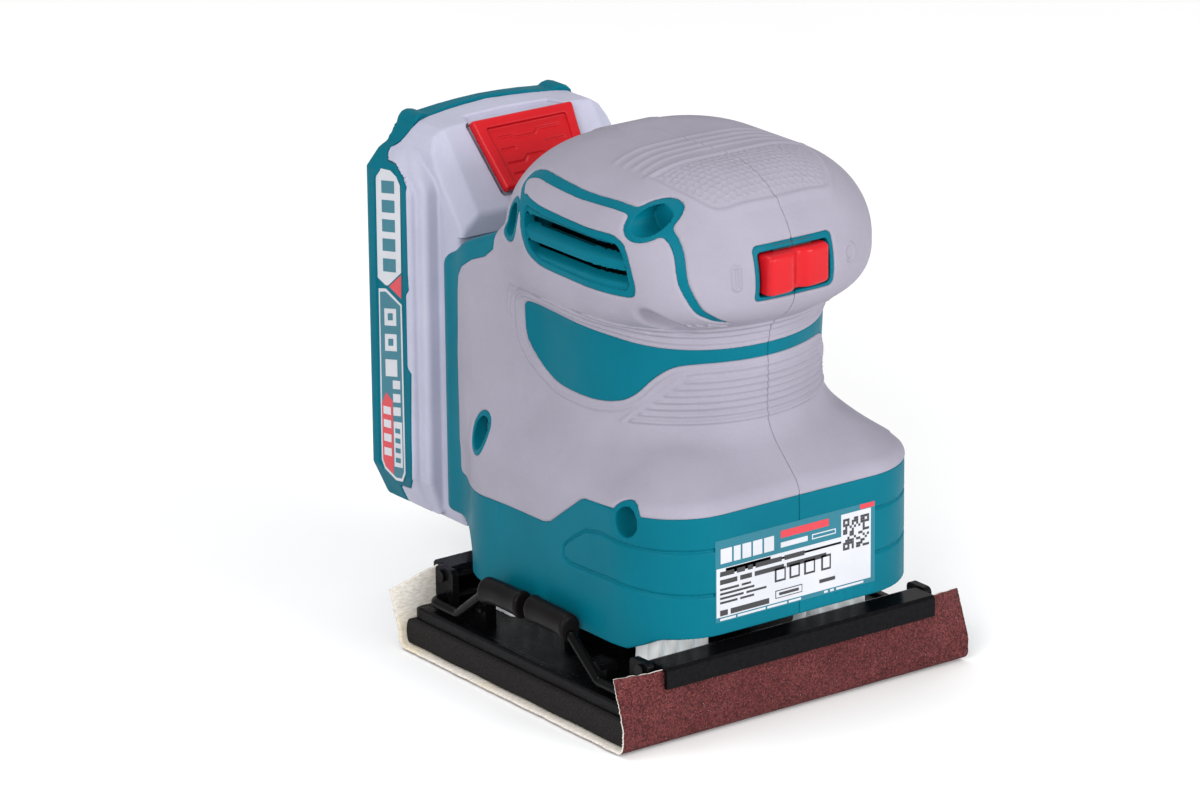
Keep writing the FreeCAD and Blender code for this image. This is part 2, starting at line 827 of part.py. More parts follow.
def cross_rib(low, within):
    """A rib across the inside that steadies the motor, notched each side for the leads."""
    plate = common(box(-50, 50, -50, 42, low, f"{low} + 2.5"), within)
    hole = cylinder("motor_radius + 0.1", 10, 0, 0, f"{low} - 2")
    notches = [box(x, x + 11, -14, 24, f"{low} - 2", f"{low} + 5") for x in (-31, 20)]
    rear_notch = box(-16, -2, 19, 26, f"{low} - 2", f"{low} + 5")
    return cut(plate, hole, rear_notch, *notches)


def leg_seat(x_sign, y_sign, within):
    """A ledge on the skirt's wall that a leg hangs from."""
    x, y = f"({x_sign} * leg_across)", f"({y_sign} * leg_along)"
    x0, x1 = (f"{x} - 20", f"{x} + 12") if x_sign < 0 else (f"{x} - 12", f"{x} + 20")
    y0, y1 = (f"{y} - 20", f"{y} + 7") if y_sign < 0 else (f"{y} - 7", f"{y} + 20")
    return common(box(x0, x1, y0, y1, "leg_top + 0.05", "leg_top + 2.5"), within)


def battery_slot():
    """The T slot in the column, open at the top, that the battery slides down into."""
    top = "column_top + 5"
    wide = box("-slot_half", "slot_half", "slot_front", "slot_lip", "slot_bottom", top)
    narrow = box("-slot_mouth", "slot_mouth", "slot_lip - 1", "column_rear + 5", "slot_bottom", top)
    return fuse(wide, narrow)


def housing_parts():
    """The hard housing and the soft grip over its upper part, cut from nested forms and not yet halved."""
    outer, under, hollow = tower(0), tower("skin"), tower("wall")
    above = box(-60, 60, -60, 60, "skirt_top", 150)
    rear_block = column()
    grip = cut(common(outer, above), under, rear_block)
    skirt = common(outer, box(-60, 60, -60, 60, 0, "skirt_top"))
    solid = fuse(common(under, above), skirt, rear_block)
    lower_hollow = box("-column_half + 4", "column_half - 4", 20, "body_rear - 2", 37, "column_top - 6")
    shell = cut(solid, hollow, common(lower_hollow, tower("wall")), battery_slot())
    bosses = [cylinder(4.8, 100, -50, y, z, ALONG_X) for y, z, _ in SCREWS]
    added = [cross_rib(level, under) for level in (66, 96)]
    added += [leg_seat(x, y, outer) for x in (-1, 1) for y in (-1, 1)]
    added.append(common(fuse(*bosses), under))
    both = []
    for y, z, seat in SCREWS:
        both.append(cylinder(1.7, 2 * seat - 6, -seat - 2, y, z, ALONG_X))
        both.append(cylinder(3.6, 60, -seat - 60, y, z, ALONG_X))
        both.append(cylinder(3.6, 60, seat, y, z, ALONG_X))
    for front, low, high in ((-30, 117.2, 121.4), (-26.8, 124.0, 129.6)):
        both.append(box(-60, 60, front, 9, low, high))
    both.append(
        box("-rocker_half - 1.4", "rocker_half + 1.4", -60, -43, "switch_level - 5.9", "switch_level + 5.9")
    )
    inner = [
        box(-11.6, 11.6, -48.3, -20, "switch_level - 7.6", "switch_level + 7.6"),
        box(-15.2, 15.2, 39.8, 46.5, 37.8, 54.2),
        cylinder("motor_radius + 0.1", 70, 0, 0, 52),
    ]
    hard = cut(fuse(shell, *added), *both, *inner)
    return hard, cut(grip, *both)


def half_of(whole, side):
    x0, x1 = (-70, 0) if side < 0 else (0, 70)
    return common(whole, box(x0, x1, -70, 70, 0, 160))


def housing_screws():
    """Self-tapping screws, driven in from the left, one per boss."""
    made = []
    for y, z, seat in SCREWS:
        head = cylinder(3.2, 2.4, -seat - 2.45, y, z, ALONG_X)
        shank = cylinder(1.6, 2 * seat - 12, -seat - 0.5, y, z, ALONG_X)
        drive = fuse(
            box(-seat - 3, -seat - 1.4, y - 2, y + 2, z - 0.4, z + 0.4),
            box(-seat - 3, -seat - 1.4, y - 0.4, y + 0.4, z - 2, z + 2),
        )
        made.append(cut(fuse(head, shank), drive))
    return group(*made)


def rating_plate():
    """The blank rating plate on the front of the skirt."""
    front = "-skirt_front"
    plate = box(-26.5, 26.5, f"{front} - 0.35", f"{front} - 0.02", 29.5, 52.5)
    return rounded(plate, 1.5, lambda e: abs(e.BoundBox.YLength - 0.33) < 1e-6)


def terminal_block():
    """The block at the foot of the battery slot."""
    body = box(-15, 15, 40, 45.8, 38, 54)
    foot = box(-13, 13, 45.5, 52.8, 38.02, 38.9)
    return fuse(body, foot)


def terminal_blades():
    blades = []
    for x in (-9, -3, 3, 9):
        blades.append(box(x - 0.4, x + 0.4, 48, 52, 38.92, 50))
    return group(*blades)


LEAD_ROUTES = {
    # terminal block, round the motor on the right, up to the switch
    "lead_red": [
        (8, 39.5, 50),
        (10, 31, 54),
        (22, 20, 60.5),
        (27, 8, 78),
        (27, -6, 93),
        (25, -14, 106),
        (13, -24, 116),
        (6, -27, 118.2),
    ],
    # terminal block, up behind the motor, to the rear brush
    "lead_black": [
        (-8, 39.5, 50),
        (-9, 32, 50),
        (-9, 24, 57),
        (-9, 21.5, 68),
        (-9, 22.5, 100),
        (-5, 21, 109.5),
    ],
    # switch to the front brush
    "lead_switched": [(-6, -26.5, 118.2), (-5.5, -22.6, 117.2), (-4, -21, 109.5)],
}


def lead(name):
    """An insulated lead inside the housing."""
    return swept(LEAD_ROUTES[name], 1.1, 2.4)


def rocker():
    """The switch's rocker: two rounded humps either side of a valley, turned to its off position."""
    half, low = size("rocker_half"), size("switch_level - rocker_height / 2")
    back, valley, hump = -44.6, -49.4, -51.6
    end, crest, dip = -49.6, half / 2 + 0.5, 1.5
    left, right = Vector(-half, end, low), Vector(half, end, low)
    left_foot, right_foot = Vector(-dip, valley, low), Vector(dip, valley, low)
    edges = [
        Part.LineSegment(Vector(half, back, low), Vector(-half, back, low)).toShape(),
        Part.LineSegment(Vector(-half, back, low), left).toShape(),
        Part.Arc(left, Vector(-crest, hump, low), left_foot).toShape(),
        Part.Arc(left_foot, Vector(0, valley + 0.3, low), right_foot).toShape(),
        Part.Arc(right_foot, Vector(crest, hump, low), right).toShape(),
        Part.LineSegment(right, Vector(half, back, low)).toShape(),
    ]
    face = Part.Face(Part.Wire(edges))
    block = face.extrude(Vector(0, 0, size("rocker_height")))
    pivot = Vector(0, -size("rocker_pivot"), low - 2)
    bore = Part.makeCylinder(1.06, 20, pivot)
    shape = block.cut(bore)
    shape.rotate(pivot, Vector(0, 0, 1), size("rocker_tilt"))
    made = doc.addObject("Part::Feature", "rocker")
    made.Shape = shape
    return made


def switch_pin():
    return cylinder(1.0, 14.6, 0, "-rocker_pivot", "switch_level - 7.3")


def switch_body():
    """The switch behind the rocker: a block with two cheeks that hold the pin, and two tags."""
    block = box(-10, 10, -42.4, -29, "switch_level - 7.2", "switch_level + 7.2")
    cheeks = []
    for side in (-1, 1):
        a, b = f"switch_level + {side} * 5.6", f"switch_level + {side} * 7.2"
        z0, z1 = (b, a) if side < 0 else (a, b)
        cheeks.append(box(-6, 6, -48.2, -42, z0, z1))
    tags = [box(x - 1.5, x + 1.5, -29.2, -25, "switch_level - 3", "switch_level - 2.2") for x in (-6, 6)]
    bore = cylinder(1.02, 20, 0, "-rocker_pivot", "switch_level - 10")
    return cut(fuse(block, *cheeks, *tags), bore)


# ---------------------------------------------------------------- battery


def pack_form(inset):
    """The battery's outer form: its side profile crossed with its rear outline."""
    i = inset
    side = prism(
        "YZ_Plane",
        [
            (f"pack_front + {i}", f"pack_bottom + {i}"),
            (f"pack_rear - 7 - {i} / 2", f"pack_bottom + {i}"),
            (f"pack_rear - {i}", f"pack_bottom + 8 + {i} / 2"),
            (f"pack_rear - {i}", f"pack_top - 3 - {i} / 2"),
            (f"pack_rear - 3 - {i} / 2", f"pack_top - {i}"),
            (f"pack_front + 12.5 + {i} / 2", f"pack_top - {i}"),
            (f"pack_front + {i}", f"pack_bottom + pack_slope_foot - {i} / 2"),
        ],
        -40,
        80,
    )
    half = f"(pack_half - {i})"
    face = prism(
        "XZ_Plane",
        [
            (f"-{half}", f"pack_bottom + pack_foot_chamfer + {i} / 2"),
            (f"-{half} + pack_foot_chamfer - {i} / 2", f"pack_bottom + {i}"),
            (f"{half} - pack_foot_chamfer + {i} / 2", f"pack_bottom + {i}"),
            (half, f"pack_bottom + pack_foot_chamfer + {i} / 2"),
            (half, f"pack_top - 14 - {i} / 2"),
            (f"{half} - 11.5 + {i} / 2", f"pack_top - {i}"),
            (f"-{half} + 11.5 - {i} / 2", f"pack_top - {i}"),
            (f"-{half}", f"pack_top - 14 - {i} / 2"),
        ],
        -100,
        60,
    )
    return common(side, face)


SLOPE = math.degrees(math.atan2(size("pack_top - pack_bottom - pack_slope_foot"), 12.5))


def slope_point(x, along, deep):
    """A point by the battery's sloping upper face: across, up the slope, and into the battery."""
    tilt = math.radians(SLOPE)
    y = size("pack_front") + along * math.cos(tilt) + deep * math.sin(tilt)
    z = size("pack_bottom + pack_slope_foot") + along * math.sin(tilt) - deep * math.cos(tilt)
    return Vector(x, y, z)


def sloped_box(half, start, end, near, far):
    """A block square to the sloping face, between two distances up it and two depths."""
    made = doc.addObject("Part::Box", "sloped")
    made.setExpression("Length", bound(f"2 * ({half})"))
    made.setExpression("Width", bound(f"({end}) - ({start})"))
    made.setExpression("Height", bound(f"({far}) - ({near})"))
    corner = slope_point(-size(half), size(start), size(far))
    made.Placement = Placement(corner, Rotation(Vector(1, 0, 0), SLOPE))
    return made


def latch_button():
    """The release button: a plate with finger ridges, flush in the sloping face, and the spring's seat."""
    plate = sloped_box("latch_half", -0.5, "latch_long - 0.5", 0, "latch_thick")
    edges = rounded(plate, 1, lambda e: abs(e.Length - size("latch_thick")) < 1e-6)
    ridges = [sloped_box(9, a, a + 1.4, -0.6, 1) for a in (4, 8, 12)]
    seat = sloped_box(4, 5.6, 12.4, "latch_thick - 0.1", "latch_thick + 0.9")
    return fuse(edges, *ridges, seat)


def latch_spring():
    """The coil that pushes the button out."""
    radius, wire, length, turns = 2.3, 0.35, 4.4, 4
    helix = Part.makeHelix(length / turns, length, radius)
    profile = Part.Wire([Part.makeCircle(wire, Vector(radius, 0, 0), Vector(0, 1, 0))])
    made = doc.addObject("Part::Feature", "spring")
    made.Shape = Part.Wire(helix).makePipeShell([profile], True, True)
    tilt = math.radians(SLOPE)
    inwards = Vector(0, math.sin(tilt), -math.cos(tilt))
    start = slope_point(0, 9, size("latch_thick") + 0.9 + wire + 0.02)
    made.Placement = Placement(start, Rotation(Vector(0, 0, 1), inwards))
    return made


def pack_shells():
    """The battery's two shells: the rear one, and the front one with its rail block."""
    outer, hollow = pack_form(0), pack_form("pack_wall")
    depth = "latch_thick + latch_travel + 0.3"
    pocket = sloped_box("latch_half + 0.6", -1.2, "latch_long + 0.2", -6, depth)
    well = sloped_box(4.6, 4.8, 13.2, 3, 9.2)
    pocket_wall = sloped_box("latch_half + 1.8", -2.4, "latch_long + 1.4", 0, f"{depth} + 1.2")
    well_wall = sloped_box(5.8, 3.6, 14.4, 3, 10.4)
    rail_low, rail_high = "slot_bottom + 1.2", "column_top - 2"
    block = fuse(
        box(
            "-slot_half + rail_play",
            "slot_half - rail_play",
            "slot_front + rail_play",
            "slot_lip - rail_play",
            rail_low,
            rail_high,
        ),
        box(
            "-slot_mouth + rail_play",
            "slot_mouth - rail_play",
            "slot_lip - rail_play - 0.5",
            "pack_front + 1",
            rail_low,
            rail_high,
        ),
    )
    mouth = box(-13, 13, "slot_front + rail_play + 1", "slot_lip - rail_play - 0.6", f"{rail_low} - 1", 54)
    lead_way = box(-13, 13, "slot_lip - 3", "pack_front + 6", 47, 54)
    walls = fuse(cut(outer, hollow), common(fuse(pocket_wall, well_wall), outer), block)
    shell = cut(walls, pocket, well, mouth, lead_way)
    rear_zone = box(-60, 60, "pack_seam", 120, 0, 160)
    front_zone = box(-60, 60, 30, "pack_seam", 0, 160)
    return common(cut(outer, hollow), rear_zone), common(shell, front_zone)


def cell_heights():
    return [size(f"cell_lowest + {i} * cell_pitch") for i in range(5)]


def cells():
    """Five cells in series, turned end for end in alternation."""
    made = []
    for i, z in enumerate(cell_heights()):
        can = cylinder("cell_radius", "cell_length", "-cell_length / 2", "cell_axis", z, ALONG_X)
        start, _ = span((-1) ** i, "cell_length / 2 - 0.1", "cell_length / 2 + 0.9")
        button = cylinder(3, 1, start, "cell_axis", z, ALONG_X)
        made.append(fuse(can, button))
    return group(*made)


def cell_holder():
    """The two end frames that the cells stand in."""
    frames = []
    for side in (-1, 1):
        x0, x1 = span(side, "cell_length / 2 - 9", "cell_length / 2 - 3")
        frame = box(x0, x1, 68.5, 89.9, "pack_bottom + 4", 122)
        holes = [cylinder("cell_radius + 0.15", 100, -50, "cell_axis", z, ALONG_X) for z in cell_heights()]
        frames.append(common(cut(frame, *holes), pack_form("pack_wall + 0.1")))
    return group(*frames)


def cell_strips():
    """The welded strips that join the cells in series."""
    made = []
    for side, first in ((-1, 0), (1, 1), (-1, 2), (1, 3)):
        x0, x1 = span(side, "cell_length / 2 + 0.95", "cell_length / 2 + 1.1")
        low, high = cell_heights()[first], cell_heights()[first + 1]
        made.append(box(x0, x1, "cell_axis - 3.5", "cell_axis + 3.5", low - 4, high + 4))
    return group(*made)


def circuit_board():
    board = box(-24, 24, 65.6, 67.2, 34, 104)
    parts = [
        box(-18, -6, 63.6, 65.8, 66, 78),
        box(4, 14, 63.2, 65.8, 70, 80),
        box(-12, 12, 62.6, 65.8, 88, 94),
    ]
    return fuse(board, *parts)


def battery_contacts():
    """Four spring clips that take the housing's blades, on tails from the board."""
    made = []
    for x in (-9, -3, 3, 9):
        cheeks = [box(x + s * 0.9 - 0.25, x + s * 0.9 + 0.25, 48, 52, 43, 51.5) for s in (-1, 1)]
        bridge = box(x - 1.15, x + 1.15, 48, 52, 51.2, 52)
        tail = box(x - 1.15, x + 1.15, 51.9, 65.5, 51.2, 52)
        made.append(fuse(*cheeks, bridge, tail))
    return group(*made)


def battery_labels():
    """A blank label on each side of the rear shell."""
    side = "pack_half"
    made = []
    for end in (-1, 1):
        x0, x1 = span(end, f"{side} + 0.02", f"{side} + 0.3")
        made.append(rounded(box(x0, x1, 75, 86.5, 34, 120), 2, lambda e: e.BoundBox.XLength > 0.2))
    return group(*made)


def battery_screw_places():
    """(x, z) of the battery's screws: outside the end frames, level with the gaps between two cells."""
    levels = [size(f"cell_lowest + {i} * cell_pitch") for i in (0.5, 3.5)]
    return [(x, z) for x in (-32, 32) for z in levels]


def battery_screws():
    made = []
    for x, z in battery_screw_places():
        head = cylinder(2.4, 0.9, x, "pack_rear - 0.95", z, ALONG_Y)
        shank = cylinder(1.1, 5.2, x, "pack_rear - 6", z, ALONG_Y)
        slot = box(x - 1.6, x + 1.6, "pack_rear - 0.5", "pack_rear", z - 0.35, z + 0.35)
        made.append(cut(fuse(head, shank), slot))
    return group(*made)


def sunk_for_screws(shell):
    """The rear shell with a boss, a bore and a sunk seat for each screw."""
    bosses = [cylinder(1.9, 5, x, "pack_rear - 6", z, ALONG_Y) for x, z in battery_screw_places()]
    holes = []
    for x, z in battery_screw_places():
        holes.append(cylinder(1.12, 8, x, "pack_rear - 7", z, ALONG_Y))
        holes.append(cylinder(2.45, 3, x, "pack_rear - 0.97", z, ALONG_Y))
    return cut(fuse(shell, *bosses), *holes)


# ---------------------------------------------------------------- the model

node("sandpaper", sandpaper())
node("backing_pad", backing_pad())
node("base_plate", base_plate())
for name, make in (
    ("clamp_bar", clamp_bar),
    ("clamp_pin", clamp_pin),
    ("lever_wire", lever_wire),
    ("lever_grip", lever_grip),
):
    node(f"rear_{name}", rear_of(node(f"front_{name}", make())))
for across, x_sign in {"left": -1, "right": 1}.items():
    for along, y_sign in {"front": -1, "rear": 1}.items():
        node(f"leg_{along}_{across}", leg(x_sign, y_sign))

node("pad_bearing", pad_bearing())
node("eccentric", eccentric())
node("eccentric_screw", eccentric_screw())
node("fan", fan())
node("motor_shaft", motor_shaft())
node("lower_bearing", small_bearing("(motor_bottom - 6)"))
node("upper_bearing", small_bearing("(motor_top + 12.02)"))
node("motor_can", motor_can())
node("motor_magnets", motor_magnets())
node("armature_core", armature_core())
node("armature_windings", armature_windings())
node("commutator", commutator())
node("motor_end_cap", motor_end_cap())
node("brushes", brushes())
node("brush_springs", brush_springs())

hard, soft = housing_parts()
for side_name, side in {"left": -1, "right": 1}.items():
    node(f"housing_{side_name}", half_of(hard, side))
    node(f"grip_{side_name}", half_of(soft, side))
node("housing_screws", housing_screws())
node("rating_plate", rating_plate())
node("terminal_block", terminal_block())
node("terminal_blades", terminal_blades())
for name in LEAD_ROUTES:
    node(name, lead(name))
node("switch_rocker", rocker())
node("switch_pin", switch_pin())
node("switch_body", switch_body())

rear_shell, front_shell = pack_shells()
node("battery_rear_shell", sunk_for_screws(rear_shell))
node("battery_front_shell", front_shell)
node("battery_cells", cells())
node("cell_holder", cell_holder())
node("cell_strips", cell_strips())
node("battery_board", circuit_board())
node("battery_contacts", battery_contacts())
node("battery_labels", battery_labels())
node("battery_screws", battery_screws())
node("latch_button", latch_button())
node("latch_spring", latch_spring())

doc.recompute()
for obj in doc.Objects:
    if "Invalid" in obj.State or "Error" in obj.State:
        raise RuntimeError(f"{obj.Label} did not recompute: {obj.State}")
os.makedirs("parts", exist_ok=True)
for old in os.listdir("parts"):
    os.remove(os.path.join("parts", old))
for name, made in NODES.items():
    shape = made.Shape
    if shape.isNull() or not shape.isValid() or not shape.Solids:
        raise RuntimeError(f"{name} has no sound solid")
    print(f"{name}: {len(shape.Solids)} solid(s), {shape.Volume / 1000:.2f} cm3")
    shape.exportStep(f"parts/{name}.step")
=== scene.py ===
import json
import math

import bmesh
import bpy
import numpy as np
from mathutils import Matrix, Vector


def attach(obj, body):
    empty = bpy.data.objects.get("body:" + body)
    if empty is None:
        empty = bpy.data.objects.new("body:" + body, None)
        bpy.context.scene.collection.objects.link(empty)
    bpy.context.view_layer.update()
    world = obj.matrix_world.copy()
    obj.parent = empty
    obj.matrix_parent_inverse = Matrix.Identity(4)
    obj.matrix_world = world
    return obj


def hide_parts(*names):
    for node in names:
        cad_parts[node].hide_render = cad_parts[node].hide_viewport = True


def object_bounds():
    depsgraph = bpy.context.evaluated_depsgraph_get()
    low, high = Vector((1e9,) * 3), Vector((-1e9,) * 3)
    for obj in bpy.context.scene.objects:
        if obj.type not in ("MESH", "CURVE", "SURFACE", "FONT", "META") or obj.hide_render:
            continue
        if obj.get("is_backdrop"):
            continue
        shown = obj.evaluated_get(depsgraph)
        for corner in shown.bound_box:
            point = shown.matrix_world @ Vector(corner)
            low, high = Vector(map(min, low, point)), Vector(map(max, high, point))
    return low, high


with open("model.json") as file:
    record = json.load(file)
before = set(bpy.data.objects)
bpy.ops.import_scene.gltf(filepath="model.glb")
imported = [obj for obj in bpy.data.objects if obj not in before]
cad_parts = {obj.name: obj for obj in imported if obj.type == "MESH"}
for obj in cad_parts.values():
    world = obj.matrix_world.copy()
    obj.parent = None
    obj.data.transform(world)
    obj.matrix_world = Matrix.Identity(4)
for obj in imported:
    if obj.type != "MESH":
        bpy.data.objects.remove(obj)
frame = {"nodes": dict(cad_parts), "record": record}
cad_low, cad_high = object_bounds()
MM = 0.001
SLOT_OF = {row["node"]: row["material_slot"] for row in frame["record"]["subparts"]}

# ---- distance fields, in millimetres; negative is inside ----


def meet(a, b, soft=0.0):
    """What is inside both, with its edge rounded over about soft."""
    if soft <= 0:
        return np.maximum(a, b)
    h = np.maximum(soft - np.abs(a - b), 0) / soft
    return np.maximum(a, b) + h * h * soft / 4


def join(a, b, soft=0.0):
    return -meet(-a, -b, soft)


def carve(a, b, soft=0.0):
    return meet(a, -b, soft)


def ramp(v, low, high):
    """0 below low and 1 above high, with a smooth rise."""
    t = np.clip((v - low) / (high - low), 0, 1)
    return t * t * (3 - 2 * t)


def ridge(d, half):
    """A smooth bump, 1 at d = 0 and 0 from |d| = half."""
    return 1 - ramp(np.abs(d), 0, half)


def rounded_rect(u, v, half_u, half_v, r):
    """A rectangle in a plane, with corners of radius r."""
    qu, qv = np.abs(u) - half_u + r, np.abs(v) - half_v + r
    return np.hypot(np.maximum(qu, 0), np.maximum(qv, 0)) + np.minimum(np.maximum(qu, qv), 0) - r


def plan(x, y, half, front, rear, front_corner, rear_corner):
    """A rounded rectangle seen from above, reaching -front to +rear along Y."""
    across = y - (rear - front) / 2
    r = np.where(across < 0, front_corner, rear_corner)
    return rounded_rect(x, across, half, (rear + front) / 2, r)


def crown(side, up, a, b):
    """The edge between a wall and a top, as an ellipse a wide and b deep."""
    u, v = np.maximum(side + a, 0) / a, np.maximum(up + b, 0) / b
    length = np.sqrt(u * u + v * v) + 1e-9
    grad = np.sqrt((u / a) ** 2 + (v / b) ** 2) / length + 1e-9
    return np.where(length < 1e-6, np.maximum(side, up), (length - 1) / grad)


def polygon(u, v, points):
    """Distance from a closed outline in a plane."""
    best, inside = np.full(u.shape, 1e9), np.zeros(u.shape, bool)
    for (au, av), (bu, bv) in zip(points, points[1:] + points[:1]):
        eu, ev, wu, wv = bu - au, bv - av, u - au, v - av
        t = np.clip((wu * eu + wv * ev) / (eu * eu + ev * ev), 0, 1)
        best = np.minimum(best, (wu - eu * t) ** 2 + (wv - ev * t) ** 2)
        if av != bv:
            inside ^= ((av > v) != (bv > v)) & (wu < eu * wv / ev)
    return np.where(inside, -1, 1) * np.sqrt(best)


def smooth(points, closed=True, steps=4):
    """A Catmull-Rom curve through points, with steps short lines from each point to the next."""
    p = np.array(points, float)
    n, out = len(p), []
    for i in range(n if closed else n - 1):
        at = [(i + k) % n if closed else min(max(i + k, 0), n - 1) for k in (-1, 0, 1, 2)]
        a, b, c, d = p[at]
        for t in np.arange(steps) / steps:
            out.append((b + (c - a) * t / 2 + (2 * a - 5 * b + 4 * c - d) * t**2 / 2
                        + (3 * b - a - 3 * c + d) * t**3 / 2))
    if not closed:
        out.append(p[-1])
    return [tuple(q) for q in out]


def ribbon(x, y, z, points):
    """Distance from a line in space, less its half width there. A point is (x, y, z, half width)."""
    best = np.full(x.shape, 1e9)
    for a, b in zip(points, points[1:]):
        a, b = np.array(a), np.array(b)
        e = b[:3] - a[:3]
        t = np.clip(((x - a[0]) * e[0] + (y - a[1]) * e[1] + (z - a[2]) * e[2]) / (e @ e), 0, 1)
        d = np.sqrt((x - a[0] - e[0] * t) ** 2 + (y - a[1] - e[1] * t) ** 2 + (z - a[2] - e[2] * t) ** 2)
        best = np.minimum(best, d - a[3] - (b[3] - a[3]) * t)
    return best


# ---- the housing ----

# half width, reach to the front and to the rear, and the radii of the front and rear corners
SKIRT = (46.0, 51.7, 45.0, 21.5, 21.0)
NECK = (36.0, 37.6, 45.0, 35.8, 6.0)
# a distance beyond anything that a field cuts
FAR = 99.0
GRIP_THICK = 1.4
# (y, z, half width, half height, distance from the centre plane to its floor) of each screw well
FEATURE_SCREWS = ((-30.5, 133.0, 4.0, 3.6, 27), (19.5, 123.0, 3.4, 4.1, 31), (30.0, 62.6, 3.6, 4.2, 36),
                  (-36.2, 56.6, 3.3, 4.0, 36))


def column_top(y, z):
    """Height above the sloping top of the column that carries the battery."""
    return (z - 109.4 + 0.42 * (y - 44)) / 1.085


def body(x, y, z):
    """The housing's outside, before any detail."""
    skirt = plan(x, y, *SKIRT)
    neck = plan(x, y, *NECK)
    wide = np.maximum(-skirt, 0) + np.maximum(neck, 0) + 1e-3
    t = np.clip(-skirt / wide, 0, 1)
    shoulder = (z - 61.0 - 13.4 * t) / np.sqrt(1 + (13.4 / np.maximum(wide, 4)) ** 2)
    f = meet(meet(skirt, shoulder, 2.6), 14.0 - z)
    lean = 0.05 * np.maximum(z - 76, 0)
    spine_top = column_top(y, z)
    f = join(f, meet(meet(meet(neck - lean, z - 120, 1), spine_top, 3.0), 60 - z, 1), 5.0)
    spine = meet(meet(plan(x, y, 38.0, -14.0, 56.5, 6.0, 5.0), spine_top, 3.0), 33 - z, 2.0)
    f = join(f, spine, 7.0)
    side, fore = np.maximum(np.abs(x) - 7.6, 0), np.maximum(-y - 15.0, 0)
    w = side**2 / (side**2 + fore**2 + 1e-3)
    head = crown(plan(x, y, 42.6, 50.2, 41.0, 35.0, 35.0), z - 143.1, 27.5 + 3.0 * w, 26.0 - 2.5 * w)
    under = (101.5 + 0.55 * np.maximum(neck, 0) - z) / np.sqrt(1 + 0.55**2)
    return join(f, meet(head, under, 7.0), 3.0)


EDGE = [(-60, 58.2), (-39, 58.7), (-32.5, 59.3), (-20.3, 58.6), (-18.6, 58.0), (-5.0, 48.2),
        (-2.1, 47.3), (13.6, 47.2), (33, 46.4), (60, 45.4)]
REAR_EDGE = [(46.2, 20), (46.6, 65), (47.2, 80), (46.4, 97), (45.6, 101.5), (43.5, 104.5), (38.2, 107.8),
             (32, 110.2), (28.0, 113.2), (26.9, 118), (27.5, 140)]
BADGE = smooth([(15.3, 98.5), (15.0, 93), (13.0, 88.5), (9.0, 84.2), (3.5, 82.0), (-4, 81.4), (-11.5, 81.2),
                (-17.7, 82.2), (-21.6, 84.6), (-25.0, 88.6), (-28.1, 91.6), (-31.0, 92.9), (-36.2, 93.3),
                (-46, 93.2), (-46, 96.3), (-36.3, 96.4), (-28.8, 97.0), (-22.3, 98.0), (-15.5, 99.3),
                (-4.4, 100.7), (6.7, 101.6), (13.0, 101.9), (15.0, 101.0)])
VENT_FRAME = smooth([(16.0, 128.2), (14.5, 126.2), (11.7, 121.6), (8.9, 117.9), (4.4, 115.8), (-0.6, 115.1),
                     (-10.7, 114.8), (-20.1, 114.6), (-27.5, 114.3), (-30.8, 114.4), (-31.9, 115.6),
                     (-31.7, 118.5), (-30.3, 122.8), (-28.0, 126.6), (-24.6, 128.5), (-21, 128.9), (-13, 128.8),
                     (-3.9, 129.0), (5.5, 129.4), (12.2, 130.0), (15.7, 130.2)])
VENT_HOLE = smooth([(12.9, 128.0), (12.2, 126.0), (9.7, 121.8), (7.2, 118.8), (3.6, 117.1), (-0.7, 116.6),
                    (-10.7, 116.3), (-20.5, 116.1), (-28.2, 115.9), (-30.2, 116.4), (-30.3, 119.0),
                    (-28.9, 122.8), (-26.9, 125.9), (-23.9, 127.2), (-16.9, 127.3), (-5.1, 127.5), (5.2, 127.9),
                    (11.0, 128.4)], steps=3)
STRIPE = smooth([(-40.0, 14.0, 127.2, 1.1), (-38.2, 16.6, 129.1, 0.9), (-36.4, 18.8, 130.5, 0.8),
                 (-34.3, 20.6, 131.9, 0.9), (-32.6, 19.5, 134.2, 1.2), (-33.0, 14.6, 135.7, 1.35),
                 (-33.9, 9.9, 135.8, 1.4), (-34.4, 5.2, 135.6, 1.35), (-34.7, -1.0, 135.3, 1.3),
                 (-34.9, -7.0, 135.2, 1.25), (-34.6, -16.1, 135.5, 1.2), (-33.7, -22.7, 135.3, 1.2),
                 (-32.5, -28.9, 134.1, 1.3), (-30.9, -34.0, 132.4, 1.5), (-30.0, -37.9, 129.5, 1.3),
                 (-29.9, -40.2, 126.1, 1.2), (-30.2, -41.3, 122.4, 1.2), (-30.0, -42.1, 118.7, 1.15),
                 (-28.5, -43.0, 114.8, 1.05), (-25.9, -43.2, 110.8, 0.95), (-23.0, -43.2, 108.8, 0.85),
                 (-20.5, -43.0, 107.4, 0.7), (-18.2, -42.7, 106.5, 0.5), (-15.5, -42.4, 105.7, 0.2)],
                closed=False, steps=2)
PATCH = smooth([(-20.3, 25.2), (-28, 24.4), (-35.0, 22.0), (-39.3, 19.6), (-41.2, 17.0), (-41.9, 12.0),
                (-42.2, 0.0)], closed=False, steps=3)
PATCH_LOOP = PATCH + [(y, -h) for y, h in PATCH[-2::-1]]


def beyond(line, v, w):
    """Distance of w beyond a line of (v, w) points."""
    vs, ws = np.array(line).T
    slope = np.interp(v + 0.5, vs, ws) - np.interp(v - 0.5, vs, ws)
    return (w - np.interp(v, vs, ws)) / np.sqrt(1 + slope * slope)


def well_edge(y, z, screw):
    """Distance from the oval edge of a screw's well."""
    sy, sz, half_y, half_z, _ = screw
    return (np.hypot((y - sy) / half_y, (z - sz) / half_z) - 1) * min(half_y, half_z)


